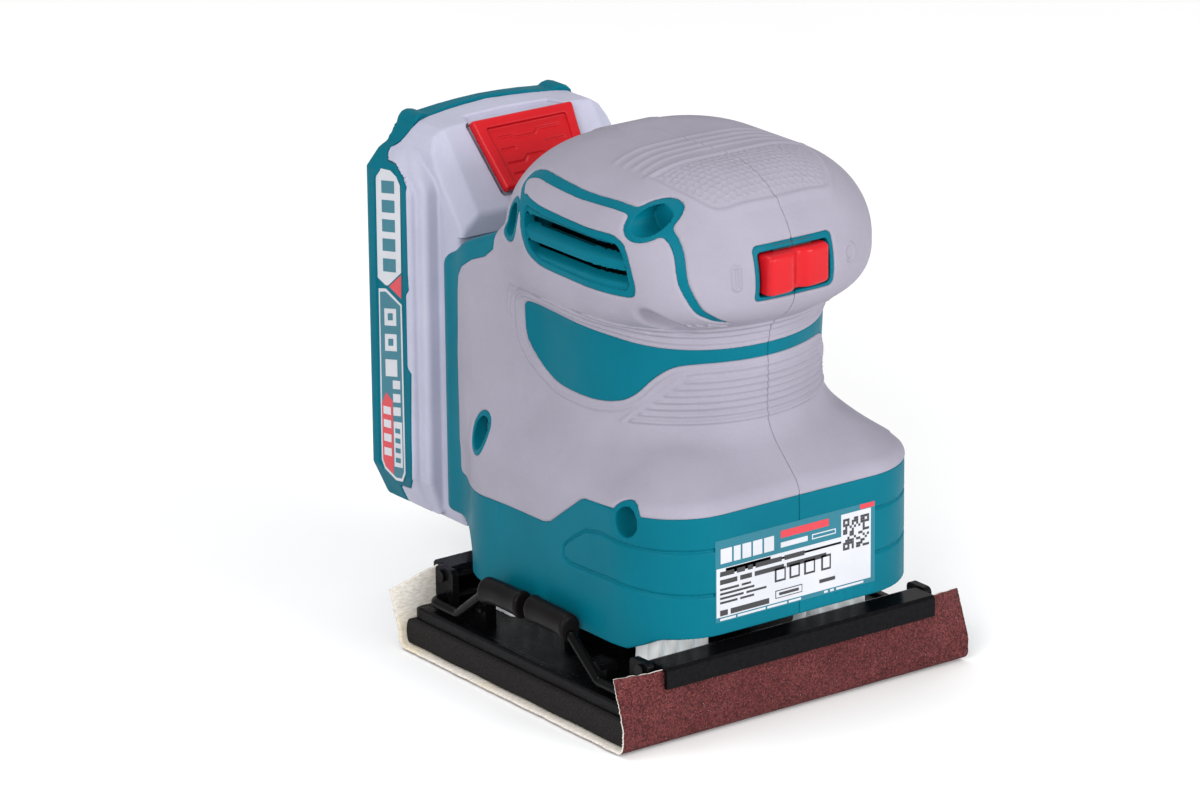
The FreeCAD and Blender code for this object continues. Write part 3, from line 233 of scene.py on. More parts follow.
def near_wells(x, y, z, reach):
    """Each well's nearby points, their distance from its edge, its floor, and whether it is the top front one."""
    for screw in FEATURE_SCREWS:
        sy, sz, _, _, seat = screw
        top_front = sz > 130
        zone = (np.abs(x) > 20) & (np.abs(y - sy) < reach) & (np.abs(z - sz) < reach)
        # this well is on the left only
        zone &= (x < 0) | (not top_front)
        yield zone, well_edge(y[zone], z[zone], screw), seat, top_front


def teal(x, y, z):
    """Distance from the teal areas: negative where the hard shell shows, positive under the soft grip."""
    side = np.abs(x)
    column = meet(-beyond(np.array(REAR_EDGE)[:, ::-1], z, y), column_top(y, z) - 2.5)
    t = join(beyond(EDGE, y, z), column, 2.0)
    zone = (z > 76) & (z < 106)
    t[zone] = join(t[zone], polygon(y[zone], z[zone], BADGE), 0.5)
    zone = (z > 104) & (side > 15)
    vent = polygon(y[zone], z[zone], VENT_FRAME) + 30 * (side[zone] < 30)
    # the stripe narrows and ends early on the right
    fade = np.maximum(-18.0 - y[zone], 0) * 0.25 * (x[zone] > 0)
    stripe = ribbon(-side[zone], y[zone], z[zone], STRIPE) + fade
    t[zone] = join(t[zone], join(vent, stripe, 1.0), 0.6)
    for zone, edge, _, top_front in near_wells(x, y, z, 9):
        t[zone] = join(t[zone], edge - 1.1, 1.5 if top_front else 0.4)
    zone = (y < -44) & (side < 16) & (z > 109)
    t[zone] = np.minimum(t[zone], rounded_rect(x[zone], z[zone] - 119.5, 12.4, 7.0, 1.4))
    return t


def honeycomb(u, v, pitch):
    """1 on the walls of a honeycomb and 0 in its cells."""
    a, b = pitch, pitch * np.sqrt(3)
    d = np.full(u.shape, 1e9)
    for du, dv in ((0, 0), (a / 2, b / 2)):
        pu, pv = (u + du + a / 2) % a - a / 2, (v + dv + b / 2) % b - b / 2
        d = np.minimum(d, np.maximum(np.abs(pu), np.abs(pu) / 2 + np.abs(pv) * np.sqrt(3) / 2))
    return ramp(d, pitch * 0.26, pitch * 0.5)


def neck_relief(y, z, t):
    """The border round the badge, the two lines above the band, and the ribs round the front of the neck."""
    out = 0.4 * ridge(t - 2.3, 0.9) * (t > 0)
    out += 0.4 * ridge(t - 4.2, 0.8) * ramp(z, 96, 97.5) * (t > 0)
    out += 0.4 * ridge(t - 5.9, 0.8) * ramp(z, 97, 98.5) * (t > 0)
    # a slanting line under the badge cuts the ribs off
    cut = ((z - 79.5) * 0.6 - (-21.5 - y) * 0.62) / 0.86
    mask = ramp(-cut, 0.6, 1.6) * ramp(t, 3.2, 3.8) * ramp(z, 76.2, 76.9) * (z < 92)
    out += 0.5 * (0.5 + 0.5 * np.cos((z - 77.3) / 1.85 * 2 * np.pi)) * mask
    return out + 0.3 * ridge(cut, 0.9) * (z < 91) * (z > 76.5) * (t > 2.6)


def head_relief(x, y):
    """The patch on top of the head: its border, its fine honeycomb and the four ridges across it."""
    inside = -polygon(y, x, PATCH_LOOP)
    bow = y + 0.0045 * x * x
    out = 0.5 * ridge(inside, 1.5) + 0.17 * honeycomb(x, bow, 2.1) * ramp(inside, 1.2, 2.2)
    half = 26.2 + 0.05 * y
    for line in (-4.5, -8.3, -12.1, -15.9):
        out += 0.34 * ridge(bow - line - 1.6, 1.4) * ramp(half - np.abs(x), 0, 2.5)
    return out


def relief(x, y, z, t):
    """How far the ribs, ridges and grooves stand out from the body."""
    side, h = np.abs(x), np.zeros(x.shape)
    zone = (z > 74) & (z < 106) & (y < 22)
    h[zone] += neck_relief(y[zone], z[zone], t[zone])
    zone = (z > 132) & (y < 0) & (side < 30)
    h[zone] += head_relief(x[zone], y[zone])
    # the I and the O beside the switch
    zone = (y < -38) & (z > 110) & (z < 128) & (side > 14) & (side < 25)
    mark_i = np.abs(rounded_rect(x[zone] + 18.0, z[zone] - 119.6, 0.85, 3.0, 0.8))
    mark_o = np.abs(np.hypot(x[zone] - 18.6, z[zone] - 119.8) - 2.1)
    h[zone] += 0.5 * ridge(np.minimum(mark_i, mark_o), 0.75)
    zone = (z > 34) & (z < 56) & (y < -5)
    h[zone] -= 0.55 * ridge(skirt_line(y[zone], z[zone]), 0.75)
    return h


def skirt_line(y, z):
    """Distance from the closed contour line engraved round the front of the skirt."""
    upper = np.interp(y, [-52, -42, -27, -20.5, -15, -11], [49.4, 50.2, 51.4, 50.2, 46.8, 43.6])
    lower = np.interp(y, [-52, -40, -31, -14, -11], [37.2, 39.0, 39.9, 39.2, 40.2])
    middle, half = (upper + lower) / 2, (upper - lower) / 2
    d = np.abs(np.abs(z - middle) - half)
    end = np.abs(y + 10.8) + 5 * (np.abs(z - middle) > half)
    return np.where(y > -11, end, np.minimum(d, end))


def openings(x, y, z, b):
    """What is cut through the hard shell and the grip: vents, screw recesses and the switch's window."""
    side = np.abs(x)
    f = np.full(x.shape, FAR)
    zone = (side > 28) & (z > 112) & (z < 134) & (y > -34) & (y < 18)
    zz, depth = z[zone], -b[zone]
    hole = polygon(y[zone], zz, VENT_HOLE)
    rise = 0.55 * np.clip(depth, -1, 6)
    gaps = np.minimum(np.abs(zz - 118.6 - rise) - 1.55, np.abs(zz - 124.4 - rise) - 1.75)
    f[zone] = np.minimum(np.maximum(hole, depth - 0.9), np.maximum(hole, gaps))
    for zone, edge, seat, _ in near_wells(x, y, z, 8):
        f[zone] = np.minimum(f[zone], np.maximum(edge, seat - 0.2 - side[zone]))
    zone = (y < -40) & (side < 16) & (z > 108)
    f[zone] = np.minimum(f[zone], rounded_rect(x[zone], z[zone] - 119.1, 11.3, 5.8, 1.2))
    return f


def dent(x, y, z):
    """The finger dent under the front left corner of the head."""
    px, py, pz = -x - 29.3, y + 33.4, z - 105.9
    u = np.array([0.876, 0.08, 0.475])
    along = px * u[0] + py * u[1] + pz * u[2]
    rest = np.sqrt(np.maximum(px**2 + py**2 + pz**2 - along**2, 0))
    return (np.hypot(along / 8.6, rest / 3.3) - 1) * 3.3


def surface(x, y, z):
    """The body with its dents, its relief, and how far a point is from the teal areas."""
    b = carve(body(x, y, z), dent(x, y, z), 1.5)
    t = teal(x, y, z)
    return b, t, b - relief(x, y, z, t)


def grip(x, y, z):
    """The soft overmould: a skin over the hard shell, with rounded edges."""
    b, t, r = surface(x, y, z)
    f = meet(meet(r, -b - GRIP_THICK, 0.2), 0.12 - t, 0.9)
    f = carve(f, openings(x, y, z, b), 0.3)
    return meet(f, 20 - z)


def skirt_edge(y):
    """Height of the skirt's lower edge: it reaches lower at the sides than over the clamps."""
    return np.interp(y, [-45, -43, -40.6, -36.6, 36, 40, 43], [26.0, 25.4, 24.0, 22.4, 22.4, 24.0, 26.0])


def wells(x, y, z):
    """The tubes round the screws, from their wells down to their seats."""
    f = np.full(x.shape, FAR)
    for screw in FEATURE_SCREWS:
        tube = well_edge(y, z, screw) - 1.4
        f = np.minimum(f, np.maximum(tube, screw[-1] - 1.6 - np.abs(x)))
    return f


def ledges(x, y, z):
    """The four ledges inside the skirt that the legs hang from."""
    return meet(rounded_rect(np.abs(x) - 33, np.abs(y) - 38, 18, 14, 2), np.abs(z - 34.9) - 1.3)


def hard_shell(x, y, z):
    """The hard shell: flush where it shows, and below the grip elsewhere."""
    b, t, r = surface(x, y, z)
    drop = 0.3 + (GRIP_THICK - 0.25) * ramp(t, 0.0, 0.9)
    f = meet(r + drop, -b - 3.8, 0.3)
    f = join(f, meet(np.minimum(wells(x, y, z), ledges(x, y, z)), b + 2.0), 0.4)
    f = carve(f, openings(x, y, z, b), 0.4)
    return meet(f, skirt_edge(y) - z, 0.5)


# ---- from a field to a mesh ----

OFFSETS = np.array([(i, j, k) for i in (0, 1) for j in (0, 1) for k in (0, 1)])
# a cell's three places become one number, in this base and with this margin below 0
BASE, MARGIN = 4096, 4
POINTS_AT_ONCE = 400000


def key(cell):
    return ((cell[..., 0] + MARGIN) * BASE + cell[..., 1] + MARGIN) * BASE + cell[..., 2] + MARGIN


def surface_net(field, low, high, step, coarse=8.0, slack=1.6):
    """Vertices and quads of the surface where field is 0, in the field's own units."""
    low, high = np.array(low, float), np.array(high, float)
    size = coarse
    count = np.ceil((high - low) / size).astype(int)
    cells = np.stack(np.meshgrid(*[np.arange(n) for n in count], indexing="ij"), -1).reshape(-1, 3)
    while True:
        middle = low + (cells + 0.5) * size
        near = np.abs(field(*middle.T)) < size * 0.87 * slack + 0.5
        cells = cells[near]
        if size <= step * 1.01:
            break
        cells = (cells[:, None] * 2 + OFFSETS).reshape(-1, 3)
        size /= 2
    unique, place = np.unique(key(cells[:, None] + OFFSETS), return_inverse=True)
    grid = np.stack([unique // BASE**2, unique // BASE % BASE, unique % BASE], -1) - MARGIN
    parts = np.array_split(grid, 1 + len(grid) // POINTS_AT_ONCE)
    value = np.concatenate([field(*(low + part * size).T) for part in parts])
    v = value[place.reshape(-1, 8)]
    crossing = (v.min(1) < 0) & (v.max(1) >= 0)
    cells, v = cells[crossing], v[crossing]
    total, number = np.zeros((len(cells), 3)), np.zeros(len(cells))
    for a in range(8):
        for bit in (1, 2, 4):
            b = a | bit
            if b == a:
                continue
            cut = (v[:, a] < 0) != (v[:, b] < 0)
            t = (v[:, a] / np.where(cut, v[:, a] - v[:, b], 1))[:, None]
            total += np.where(cut[:, None], OFFSETS[a] + (OFFSETS[b] - OFFSETS[a]) * t, 0)
            number += cut
    points = low + (cells + total / number[:, None]) * size
    keys = key(cells)
    order = np.argsort(keys)
    ordered = keys[order]
    quads = []
    for axis in range(3):
        one, two = [a for a in range(3) if a != axis]
        bit = 4 >> axis
        cut = (v[:, 0] < 0) != (v[:, bit] < 0)
        base, flip = cells[cut], v[cut, 0] < 0
        ring, good = [], np.ones(len(base), bool)
        for d1, d2 in ((0, 0), (1, 0), (1, 1), (0, 1)):
            c = base.copy()
            c[:, one] -= d1
            c[:, two] -= d2
            at = np.minimum(np.searchsorted(ordered, key(c)), len(ordered) - 1)
            good &= ordered[at] == key(c)
            ring.append(order[at])
        q = np.stack(ring, 1)
        flip = flip if axis != 1 else ~flip
        q[~flip] = q[~flip][:, ::-1]
        quads.append(q[good])
    return points, np.concatenate(quads)


def settle(field, points, step, rounds=2):
    """Moves points onto the surface, along the field's gradient."""
    e = step * 0.25
    for _ in range(rounds):
        f = field(*points.T)
        grad = np.zeros_like(points)
        for a in range(3):
            d = np.zeros(3)
            d[a] = e
            grad[:, a] = (field(*(points + d).T) - field(*(points - d).T)) / (2 * e)
        move = f[:, None] * grad / np.maximum((grad**2).sum(1), 0.25)[:, None]
        length = np.linalg.norm(move, axis=1)[:, None]
        points = points - move * np.minimum(1, 0.35 * step / np.maximum(length, 1e-9))
    return points


# ---- camera, floor and light ----

def orbit_axes(azimuth, elevation, roll):
    """The camera's right, up and backward directions."""
    a, e, r = (math.radians(v) for v in (azimuth, elevation, roll))
    back = Vector((math.sin(a) * math.cos(e), -math.cos(a) * math.cos(e), math.sin(e)))
    level = Vector((math.cos(a), math.sin(a), 0))
    upright = back.cross(level)
    right = level * math.cos(r) + upright * math.sin(r)
    up = upright * math.cos(r) - level * math.sin(r)
    return right, up, back


def add_camera():
    right, up, back = orbit_axes(-36.086, 18.501, -0.602)
    data = bpy.data.cameras.new("camera")
    data.sensor_width, data.lens = 36, 182.03
    data.clip_start, data.clip_end = 0.1, 20
    eye = bpy.data.objects.new("camera", data)
    bpy.context.collection.objects.link(eye)
    target = Vector((0, 0, 0.075)) - right * 0.02072 - up * 0.00385
    place = Matrix((right, up, back)).transposed().to_4x4()
    place.translation = target + back * 1.59307
    eye.matrix_world = place
    bpy.context.scene.camera = eye


def add_floor():
    """A wide flat floor, a hair under the part."""
    mesh = bpy.data.meshes.new("floor")
    grid = bmesh.new()
    bmesh.ops.create_grid(grid, x_segments=8, y_segments=8, size=6)
    grid.to_mesh(mesh)
    grid.free()
    floor = bpy.data.objects.new("floor", mesh)
    floor.location = (0, 0, -0.0006)
    bpy.context.collection.objects.link(floor)
    floor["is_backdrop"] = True
    return floor


def add_light(name, place, target, size, power):
    data = bpy.data.lights.new(name, "AREA")
    data.shape, data.size, data.size_y = "RECTANGLE", size[0], size[1]
    data.energy = power
    lamp = bpy.data.objects.new(name, data)
    lamp.location = place
    lamp.rotation_mode = "QUATERNION"
    lamp.rotation_quaternion = (Vector(target) - Vector(place)).to_track_quat("-Z", "Y")
    bpy.context.collection.objects.link(lamp)


def add_world():
    world = bpy.data.worlds.new("studio")
    world.use_nodes = True
    light = world.node_tree.nodes["Background"].inputs
    light["Color"].default_value = (1, 1, 1, 1)
    light["Strength"].default_value = 0.62
    bpy.context.scene.world = world
    bpy.context.scene.view_settings.view_transform = "Standard"


add_camera()
floor = add_floor()
add_world()
add_light("key", (-1.35, -0.95, 0.85), (0, 0, 0.07), (0.8, 0.8), 20)
add_light("front", (0.6, -1.8, 0.62), (0, 0, 0.06), (0.9, 0.7), 27)
add_light("top", (-0.3, 0.5, 1.8), (0, 0, 0.08), (0.9, 0.9), 10)


# ---- materials ----

class Nodes:
    """A short way to lay out one material's nodes."""

    def __init__(self, name):
        self.material = bpy.data.materials.new(name)
        self.material.use_nodes = True
        self.tree = self.material.node_tree
        self.shader = self.tree.nodes["Principled BSDF"]
        self.place = self.add("ShaderNodeTexCoord").outputs["Object"]

    def add(self, kind, inputs=(), **settings):
        node = self.tree.nodes.new(kind)
        for setting, value in settings.items():
            setattr(node, setting, value)
        for name, value in dict(inputs).items():
            self.feed(node.inputs[name], value)
        return node

    def feed(self, socket, value):
        """Links a node's output to a socket, or sets the socket's own value."""
        if isinstance(value, bpy.types.NodeSocket):
            self.tree.links.new(value, socket)
        else:
            socket.default_value = value

    def noise(self, scale, detail=3.0, rough=0.55):
        settings = {"Vector": self.place, "Scale": scale, "Detail": detail, "Roughness": rough}
        return self.add("ShaderNodeTexNoise", settings).outputs["Fac"]

    def math(self, operation, a, b, clamp=False):
        return self.add("ShaderNodeMath", {0: a, 1: b}, operation=operation, use_clamp=clamp).outputs[0]

    def span(self, value, low=0.3, high=0.7, new_low=0, new_high=1):
        keys = {"Value": value, "From Min": low, "From Max": high, "To Min": new_low, "To Max": new_high}
        return self.add("ShaderNodeMapRange", keys).outputs["Result"]

    def mix(self, factor, a, b):
        return self.add("ShaderNodeMix", {0: factor, 6: a, 7: b}, data_type="RGBA").outputs[2]

    def set(self, **inputs):
        for name, value in inputs.items():
            self.feed(self.shader.inputs[name.replace("_", " ")], value)

    def bump(self, height, strength, distance):
        keys = {"Height": height, "Strength": strength, "Distance": distance}
        self.set(Normal=self.add("ShaderNodeBump", keys).outputs["Normal"])

    def worn_edges(self, colour, edge, amount):
        """colour, turning to edge where the surface turns sharply."""
        point = self.add("ShaderNodeNewGeometry").outputs["Pointiness"]
        sharp = self.span(point, 0.52, 0.6, 0, 1)
        broken = self.math("MULTIPLY", sharp, self.span(self.noise(700), 0.35, 0.65, 0, 1))
        return self.mix(self.math("MULTIPLY", broken, amount, clamp=True), colour, edge)


def shade(colour, factor):
    return tuple(min(1.0, c * factor) for c in colour[:3]) + (1.0,)


def moulded(name, colour, rough, grain=2600, grain_depth=0.00003, strength=0.35, wear=0.25, specular=0.5):
    """Moulded plastic or rubber: fine grain, a little unevenness of colour and gloss, and paler edges."""
    n = Nodes(name)
    base = n.mix(n.span(n.noise(45, 4)), shade(colour, 0.93), shade(colour, 1.06))
    speck = n.span(n.noise(grain * 0.6, 2), 0.25, 0.75, -1, 1)
    base = n.mix(n.span(speck, -1, 1, 0.0, 0.25), base, shade(colour, 1.15))
    n.set(Base_Color=n.worn_edges(base, shade(colour, 1.5), wear))
    n.set(Roughness=n.span(n.noise(160, 3), 0.3, 0.7, rough - 0.05, rough + 0.06))
    n.set(Specular_IOR_Level=specular)
    n.bump(n.noise(grain, 2, 0.5), strength, grain_depth)
    return n.material


def metal(name, colour, rough, turned=0.0, grain=1800):
    """Bare or plated metal, with a fine grain; turned packs the grain into rings round Z."""
    n = Nodes(name)
    base = n.mix(n.span(n.noise(60, 4)), shade(colour, 0.85), shade(colour, 1.1))
    n.set(Base_Color=n.worn_edges(base, shade(colour, 1.3), 0.4), Metallic=1.0)
    n.set(Roughness=n.span(n.noise(220, 4), 0.25, 0.75, rough - 0.07, rough + 0.1))
    stretch = n.add("ShaderNodeMapping", {"Vector": n.place, "Scale": (1, 1, 1 + 12 * turned)})
    keys = {"Vector": stretch.outputs[0], "Scale": grain, "Detail": 2.0}
    n.bump(n.add("ShaderNodeTexNoise", keys).outputs["Fac"], 0.25, 0.00002)
    return n.material


def enamel(name, colour, rough, specular=0.5, peel=420, depth=0.00004, dust=0.05):
    """Paint or dipping over metal: orange peel, dust in the low gloss, and worn edges."""
    n = Nodes(name)
    dusty = n.span(n.noise(900, 4, 0.7), 0.6, 0.8, 0, 1)
    base = n.mix(n.math("MULTIPLY", dusty, dust), shade(colour, 1.0), (0.25, 0.24, 0.23, 1))
    n.set(Base_Color=n.worn_edges(base, shade(colour, 3.0), 0.5))
    n.set(Roughness=n.span(n.noise(120, 5, 0.6), 0.3, 0.7, rough - 0.06, rough + 0.1))
    n.set(Specular_IOR_Level=specular)
    n.bump(n.noise(peel, 3, 0.5), 0.3, depth)
    return n.material


def foam_material():
    n = Nodes("foam_cells")
    cell = n.add("ShaderNodeTexVoronoi", {"Vector": n.place, "Scale": 2100.0}).outputs["Distance"]
    rough_cut = n.noise(700, 5, 0.7)
    height = n.math("ADD", n.math("MULTIPLY", cell, 0.6), rough_cut)
    fleck = n.span(n.noise(1500, 3, 0.8), 0.62, 0.78, 0, 1)
    # painted shade: the pores, which are the hollows of the bump, are coloured darker than the cell walls
    base = n.mix(n.span(cell, 0, 0.6, 0, 1), (0.005, 0.0045, 0.005, 1), (0.02, 0.018, 0.018, 1))
    n.set(Base_Color=n.mix(n.math("MULTIPLY", fleck, 0.3), base, (0.16, 0.15, 0.14, 1)))
    n.set(Roughness=n.span(rough_cut, 0.3, 0.7, 0.86, 0.98), Specular_IOR_Level=0.08)
    n.bump(height, 0.7, 0.00035)
    return n.material


def grit_material():
    """Red-brown abrasive: dark glue, red grains and a few painted glints, pale specks in the colour where the
    grains are glossier.
    """
    n = Nodes("abrasive_grit")
    grains = n.add("ShaderNodeTexVoronoi", {"Vector": n.place, "Scale": 2300.0})
    tint = n.span(grains.outputs["Color"], 0, 1, 0, 1)
    cloudy = n.span(n.noise(90, 4))
    dark = n.mix(cloudy, (0.036, 0.006, 0.007, 1), (0.052, 0.01, 0.011, 1))
    bright = n.mix(cloudy, (0.12, 0.023, 0.024, 1), (0.17, 0.04, 0.04, 1))
    base = n.mix(n.span(tint, 0.2, 0.9, 0, 1), dark, bright)
    # painted glints: pale specks mixed into the grains' colour, at the same spots where the roughness drops
    sparkle = n.span(n.noise(3100, 2, 0.8), 0.68, 0.76, 0, 1)
    n.set(Base_Color=n.mix(n.math("MULTIPLY", sparkle, 0.75), base, (0.75, 0.62, 0.55, 1)))
    n.set(Roughness=n.span(sparkle, 0, 1, 0.82, 0.35), Specular_IOR_Level=0.2)
    n.bump(n.math("ADD", grains.outputs["Distance"], n.noise(1200, 3, 0.7)), 0.8, 0.0004)
    return n.material


def paper_material():
    """The cream back of the sheet, with short fibres and a faint stain."""
    n = Nodes("paper_back")
    fibre = n.add("ShaderNodeMapping", {"Vector": n.place, "Scale": (1, 4, 4)}).outputs[0]
    threads = n.add("ShaderNodeTexNoise", {"Vector": fibre, "Scale": 500.0, "Detail": 5.0}).outputs["Fac"]
    base = n.mix(n.span(threads), (0.55, 0.5, 0.44, 1), (0.8, 0.76, 0.7, 1))
    stain = n.span(n.noise(38, 2), 0.55, 0.72, 0, 1)
    n.set(Base_Color=n.mix(n.math("MULTIPLY", stain, 0.35), base, (0.78, 0.62, 0.3, 1)))
    n.set(Roughness=n.span(threads, 0.3, 0.7, 0.75, 0.92))
    n.bump(threads, 0.5, 0.0002)
    return n.material


def nylon_material():
    """Natural nylon: milky and a little translucent, with a faint painted glow that lightens the posts where they
    lie in shade.
    """
    n = Nodes("natural_nylon")
    cloudy = n.span(n.noise(130, 3))
    n.set(Base_Color=n.mix(cloudy, (0.78, 0.8, 0.8, 1), (0.9, 0.91, 0.9, 1)))
    n.set(Roughness=n.span(n.noise(400, 3), 0.3, 0.7, 0.32, 0.48))
    n.set(Subsurface_Weight=0.3, Subsurface_Radius=(0.002, 0.002, 0.002))
    # painted light: a faint white emission makes the posts look lit in their shade, though they are no lamp
    n.set(Emission_Color=(0.9, 0.95, 1, 1), Emission_Strength=0.14)
    n.bump(n.noise(900, 2), 0.2, 0.00005)
    return n.material


def floor_material():
    n = Nodes("studio_paper")
    cloudy = n.span(n.noise(6, 3))
    n.set(Base_Color=n.mix(cloudy, (0.93, 0.93, 0.93, 1), (0.96, 0.96, 0.96, 1)), Roughness=0.85)
    n.bump(n.noise(900, 3), 0.1, 0.0001)
    return n.material


TEAL, RED = (0.0, 0.111, 0.157), (0.46, 0.006, 0.011)
GREY, PACK_GREY = (0.27, 0.256, 0.31), (0.385, 0.385, 0.485)
FINISH = {
    "teal_plastic": moulded("teal_shell", TEAL, 0.45, specular=0.06),
    "grey_grip": moulded("grey_overmould", GREY, 0.6, 2000, 0.00006, 0.5, specular=0.06),
    "red_plastic": moulded("red_button", RED, 0.34, grain=900, strength=0.2, specular=0.2),
    "battery_teal": moulded("battery_shell_teal", TEAL, 0.48, 1500, 0.00005, specular=0.06),
    "battery_grey": moulded("battery_shell_grey", PACK_GREY, 0.5, 1500, 0.00005, specular=0.2),
    "label_film": moulded("label_film", (0.72, 0.74, 0.76), 0.35, grain=500, strength=0.1),
    "black_plate": enamel("plate_enamel", (0.0025, 0.0025, 0.003), 0.26, dust=0.02, specular=0.07),
    "gloss_black": enamel("gloss_enamel", (0.002, 0.002, 0.0025), 0.18, dust=0.01, specular=0.08),
    "black_wire": enamel("dipped_wire", (0.002, 0.002, 0.002), 0.2, dust=0.01, specular=0.09),
    "sleeve_rubber": moulded("rubber_sleeve", (0.005, 0.0042, 0.0046), 0.36, 900, strength=0.4, specular=0.08),
    "pad_foam": foam_material(),
    "abrasive_paper": grit_material(),
    "white_plastic": nylon_material(),
    "steel": metal("machined_steel", (0.55, 0.55, 0.56), 0.28, turned=1.0),
    "zinc_steel": metal("zinc_plate", (0.62, 0.62, 0.6), 0.38),
    "zinc_casting": metal("cast_zinc", (0.45, 0.45, 0.46), 0.5, grain=700),
    "black_plastic": moulded("black_nylon", (0.02, 0.02, 0.022), 0.5),
    "magnet": enamel("ferrite", (0.06, 0.06, 0.06), 0.6, dust=0.3),
    "copper": metal("copper", (0.72, 0.33, 0.17), 0.35, grain=900),
    "brass_contact": metal("plated_brass", (0.8, 0.62, 0.28), 0.3),
    "carbon": enamel("pressed_carbon", (0.02, 0.02, 0.02), 0.7, peel=1600),
    "wire_red": moulded("red_lead", (0.5, 0.02, 0.02), 0.4, grain=700),
    "wire_black": moulded("black_lead", (0.015, 0.015, 0.015), 0.4, grain=700),
    "cell_wrap": moulded("cell_sleeve", (0.1, 0.3, 0.55), 0.28, grain=500),
    "nickel": metal("nickel_strip", (0.6, 0.58, 0.54), 0.3),
    "board_green": moulded("board_lacquer", (0.02, 0.16, 0.06), 0.25, grain=600),
}
PAPER_BACK = paper_material()
floor.data.materials.append(floor_material())
for node, thing in frame["nodes"].items():
    thing.data.materials.clear()
    thing.data.materials.append(FINISH[SLOT_OF[node]])


# ---- meshes from fields ----

def add_piece(name, points, faces, body, slot, nodes, materials=None, indices=None, smooth_faces=True):
    """A mesh in millimetres becomes a piece that rides on a body and stands for CAD nodes."""
    mesh = bpy.data.meshes.new(name)
    sizes = np.array([len(f) for f in faces])
    mesh.vertices.add(len(points))
    mesh.vertices.foreach_set("co", (np.asarray(points) * MM).ravel())
    mesh.loops.add(int(sizes.sum()))
    mesh.loops.foreach_set("vertex_index", np.concatenate(faces))
    mesh.polygons.add(len(sizes))
    mesh.polygons.foreach_set("loop_start", np.concatenate([[0], np.cumsum(sizes)[:-1]]))
    mesh.update(calc_edges=True)
    mesh.validate()
    piece = bpy.data.objects.new(name, mesh)
    bpy.context.collection.objects.link(piece)
    for material in materials or [FINISH[slot]]:
        mesh.materials.append(material)
    if indices is not None:
        mesh.polygons.foreach_set("material_index", indices)
    mesh.polygons.foreach_set("use_smooth", [smooth_faces] * len(mesh.polygons))
    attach(piece, body)
    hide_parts(*nodes)
    return piece


FACE_LIMIT = 190000


def field_piece(name, field, low, high, step, body, slot, node, limit=FACE_LIMIT, warp=lambda v: v):
    """Meshes a field, and thins the mesh to limit triangles. warp bends the grid's X spacing."""
    points, quads = surface_net(lambda u, y, z: field(warp(u), y, z), low, high, step)
    points[:, 0] = warp(points[:, 0])
    piece = add_piece(name, settle(field, points, step), quads, body, slot, [node])
    triangles = 2 * len(quads)
    if triangles > limit:
        thin = piece.modifiers.new("thin", "DECIMATE")
        thin.ratio = limit / triangles
        bake(piece)
    shade_from(piece, field)
    return piece


def shade_from(piece, field, e=0.12):
    """Shades a mesh by its field's slope, so that thinning leaves no facets."""
    points = np.empty(3 * len(piece.data.vertices))
    piece.data.vertices.foreach_get("co", points)
    points = points.reshape(-1, 3) / MM
    slope = np.stack([field(*(points + d).T) - field(*(points - d).T) for d in np.eye(3) * e], 1)
    length = np.linalg.norm(slope, axis=1)[:, None]
    piece.data.normals_split_custom_set_from_vertices(slope / np.maximum(length, 1e-9))


def bake(piece):
    """Applies the modifiers of a piece to its mesh."""
    evaluated = piece.evaluated_get(bpy.context.evaluated_depsgraph_get())
    mesh = bpy.data.meshes.new_from_object(evaluated)
    old = piece.data
    piece.modifiers.clear()
    piece.data = mesh
    bpy.data.meshes.remove(old)


# ---- the housing's pieces ----

def on_side(field, side):
    """The part of a field on one side of the parting plane: side is -1 for the left."""
    return lambda x, y, z: meet(field(x, y, z), 0.02 - x * side, 0.35)


def crowd(v):
    """Packs the grid closer beside the parting plane, so that the seam comes out straight."""
    return v - np.sign(v) * 0.9 * (1 - np.exp(-np.abs(v) / 1.2))


def add_housing():
    for side, word, x_low, x_high in ((-1, "left", -48, 0.6), (1, "right", -0.6, 48)):
        for name, field, slot, node in (("grip_skin", grip, "grey_grip", "grip"),
                                        ("shell", hard_shell, "teal_plastic", "housing")):
            field_piece(f"{name}_{word}", on_side(field, side), (x_low, -54, 20), (x_high, 60, 146), 0.5,
                        "housing", slot, f"{node}_{word}", warp=crowd)


# ---- the battery ----

PACK_HALF, PACK_REAR = 36.4, 92.0
# the Y of the front of the outer and of the middle tier
OUTER_FACE, MIDDLE_FACE = 70.4, 66.3
# the sloping face starts at this (y, z) and runs up in this direction
SLOPE_FOOT, SLOPE_RUN = (57.0, 118.0), (12.5 / 20.3, 16.0 / 20.3)


def both_sides(half_outline):
    """A symmetric outline from its right half."""
    return half_outline + [(-x, z) for x, z in half_outline[::-1]]


# the outlines of the three tiers seen from the rear, and of the rear shell with its arched rim and two ears
OUTER_TIER = both_sides([(0.01, 126.6), (31.0, 126.0), (32.3, 125.2), (PACK_HALF, 120.8), (PACK_HALF, 36.8),
                         (31.8, 27.3), (25, 26.8), (0.01, 26.8)])
MIDDLE_TIER = both_sides([(0.01, 128.4), (28.6, 128.0), (34.4, 121.5), (34.4, 36.2), (30.8, 26.6),
                          (0.01, 26.0)])
FRONT_TIER = both_sides([(0.01, 134.1), (21, 133.3), (24.4, 132.9), (27.4, 131.0), (29.2, 127.6),
                         (29.8, 123.0), (29.8, 28.8), (28.4, 25.4), (25, 24.6), (0.01, 24.6)])
REAR_FACE = both_sides([(0.01, 134.8), (7, 134.6), (13.5, 134.2), (20.2, 133.5), (21.6, 134.3), (23.2, 134.6),
                        (24.7, 134.2), (25.9, 132.9), (26.8, 130.4), (28.7, 127.3), (32.3, 125.4),
                        (PACK_HALF, 120.8), (PACK_HALF, 36.8), (31.8, 27.2), (25, 26.6), (0.01, 26.6)])
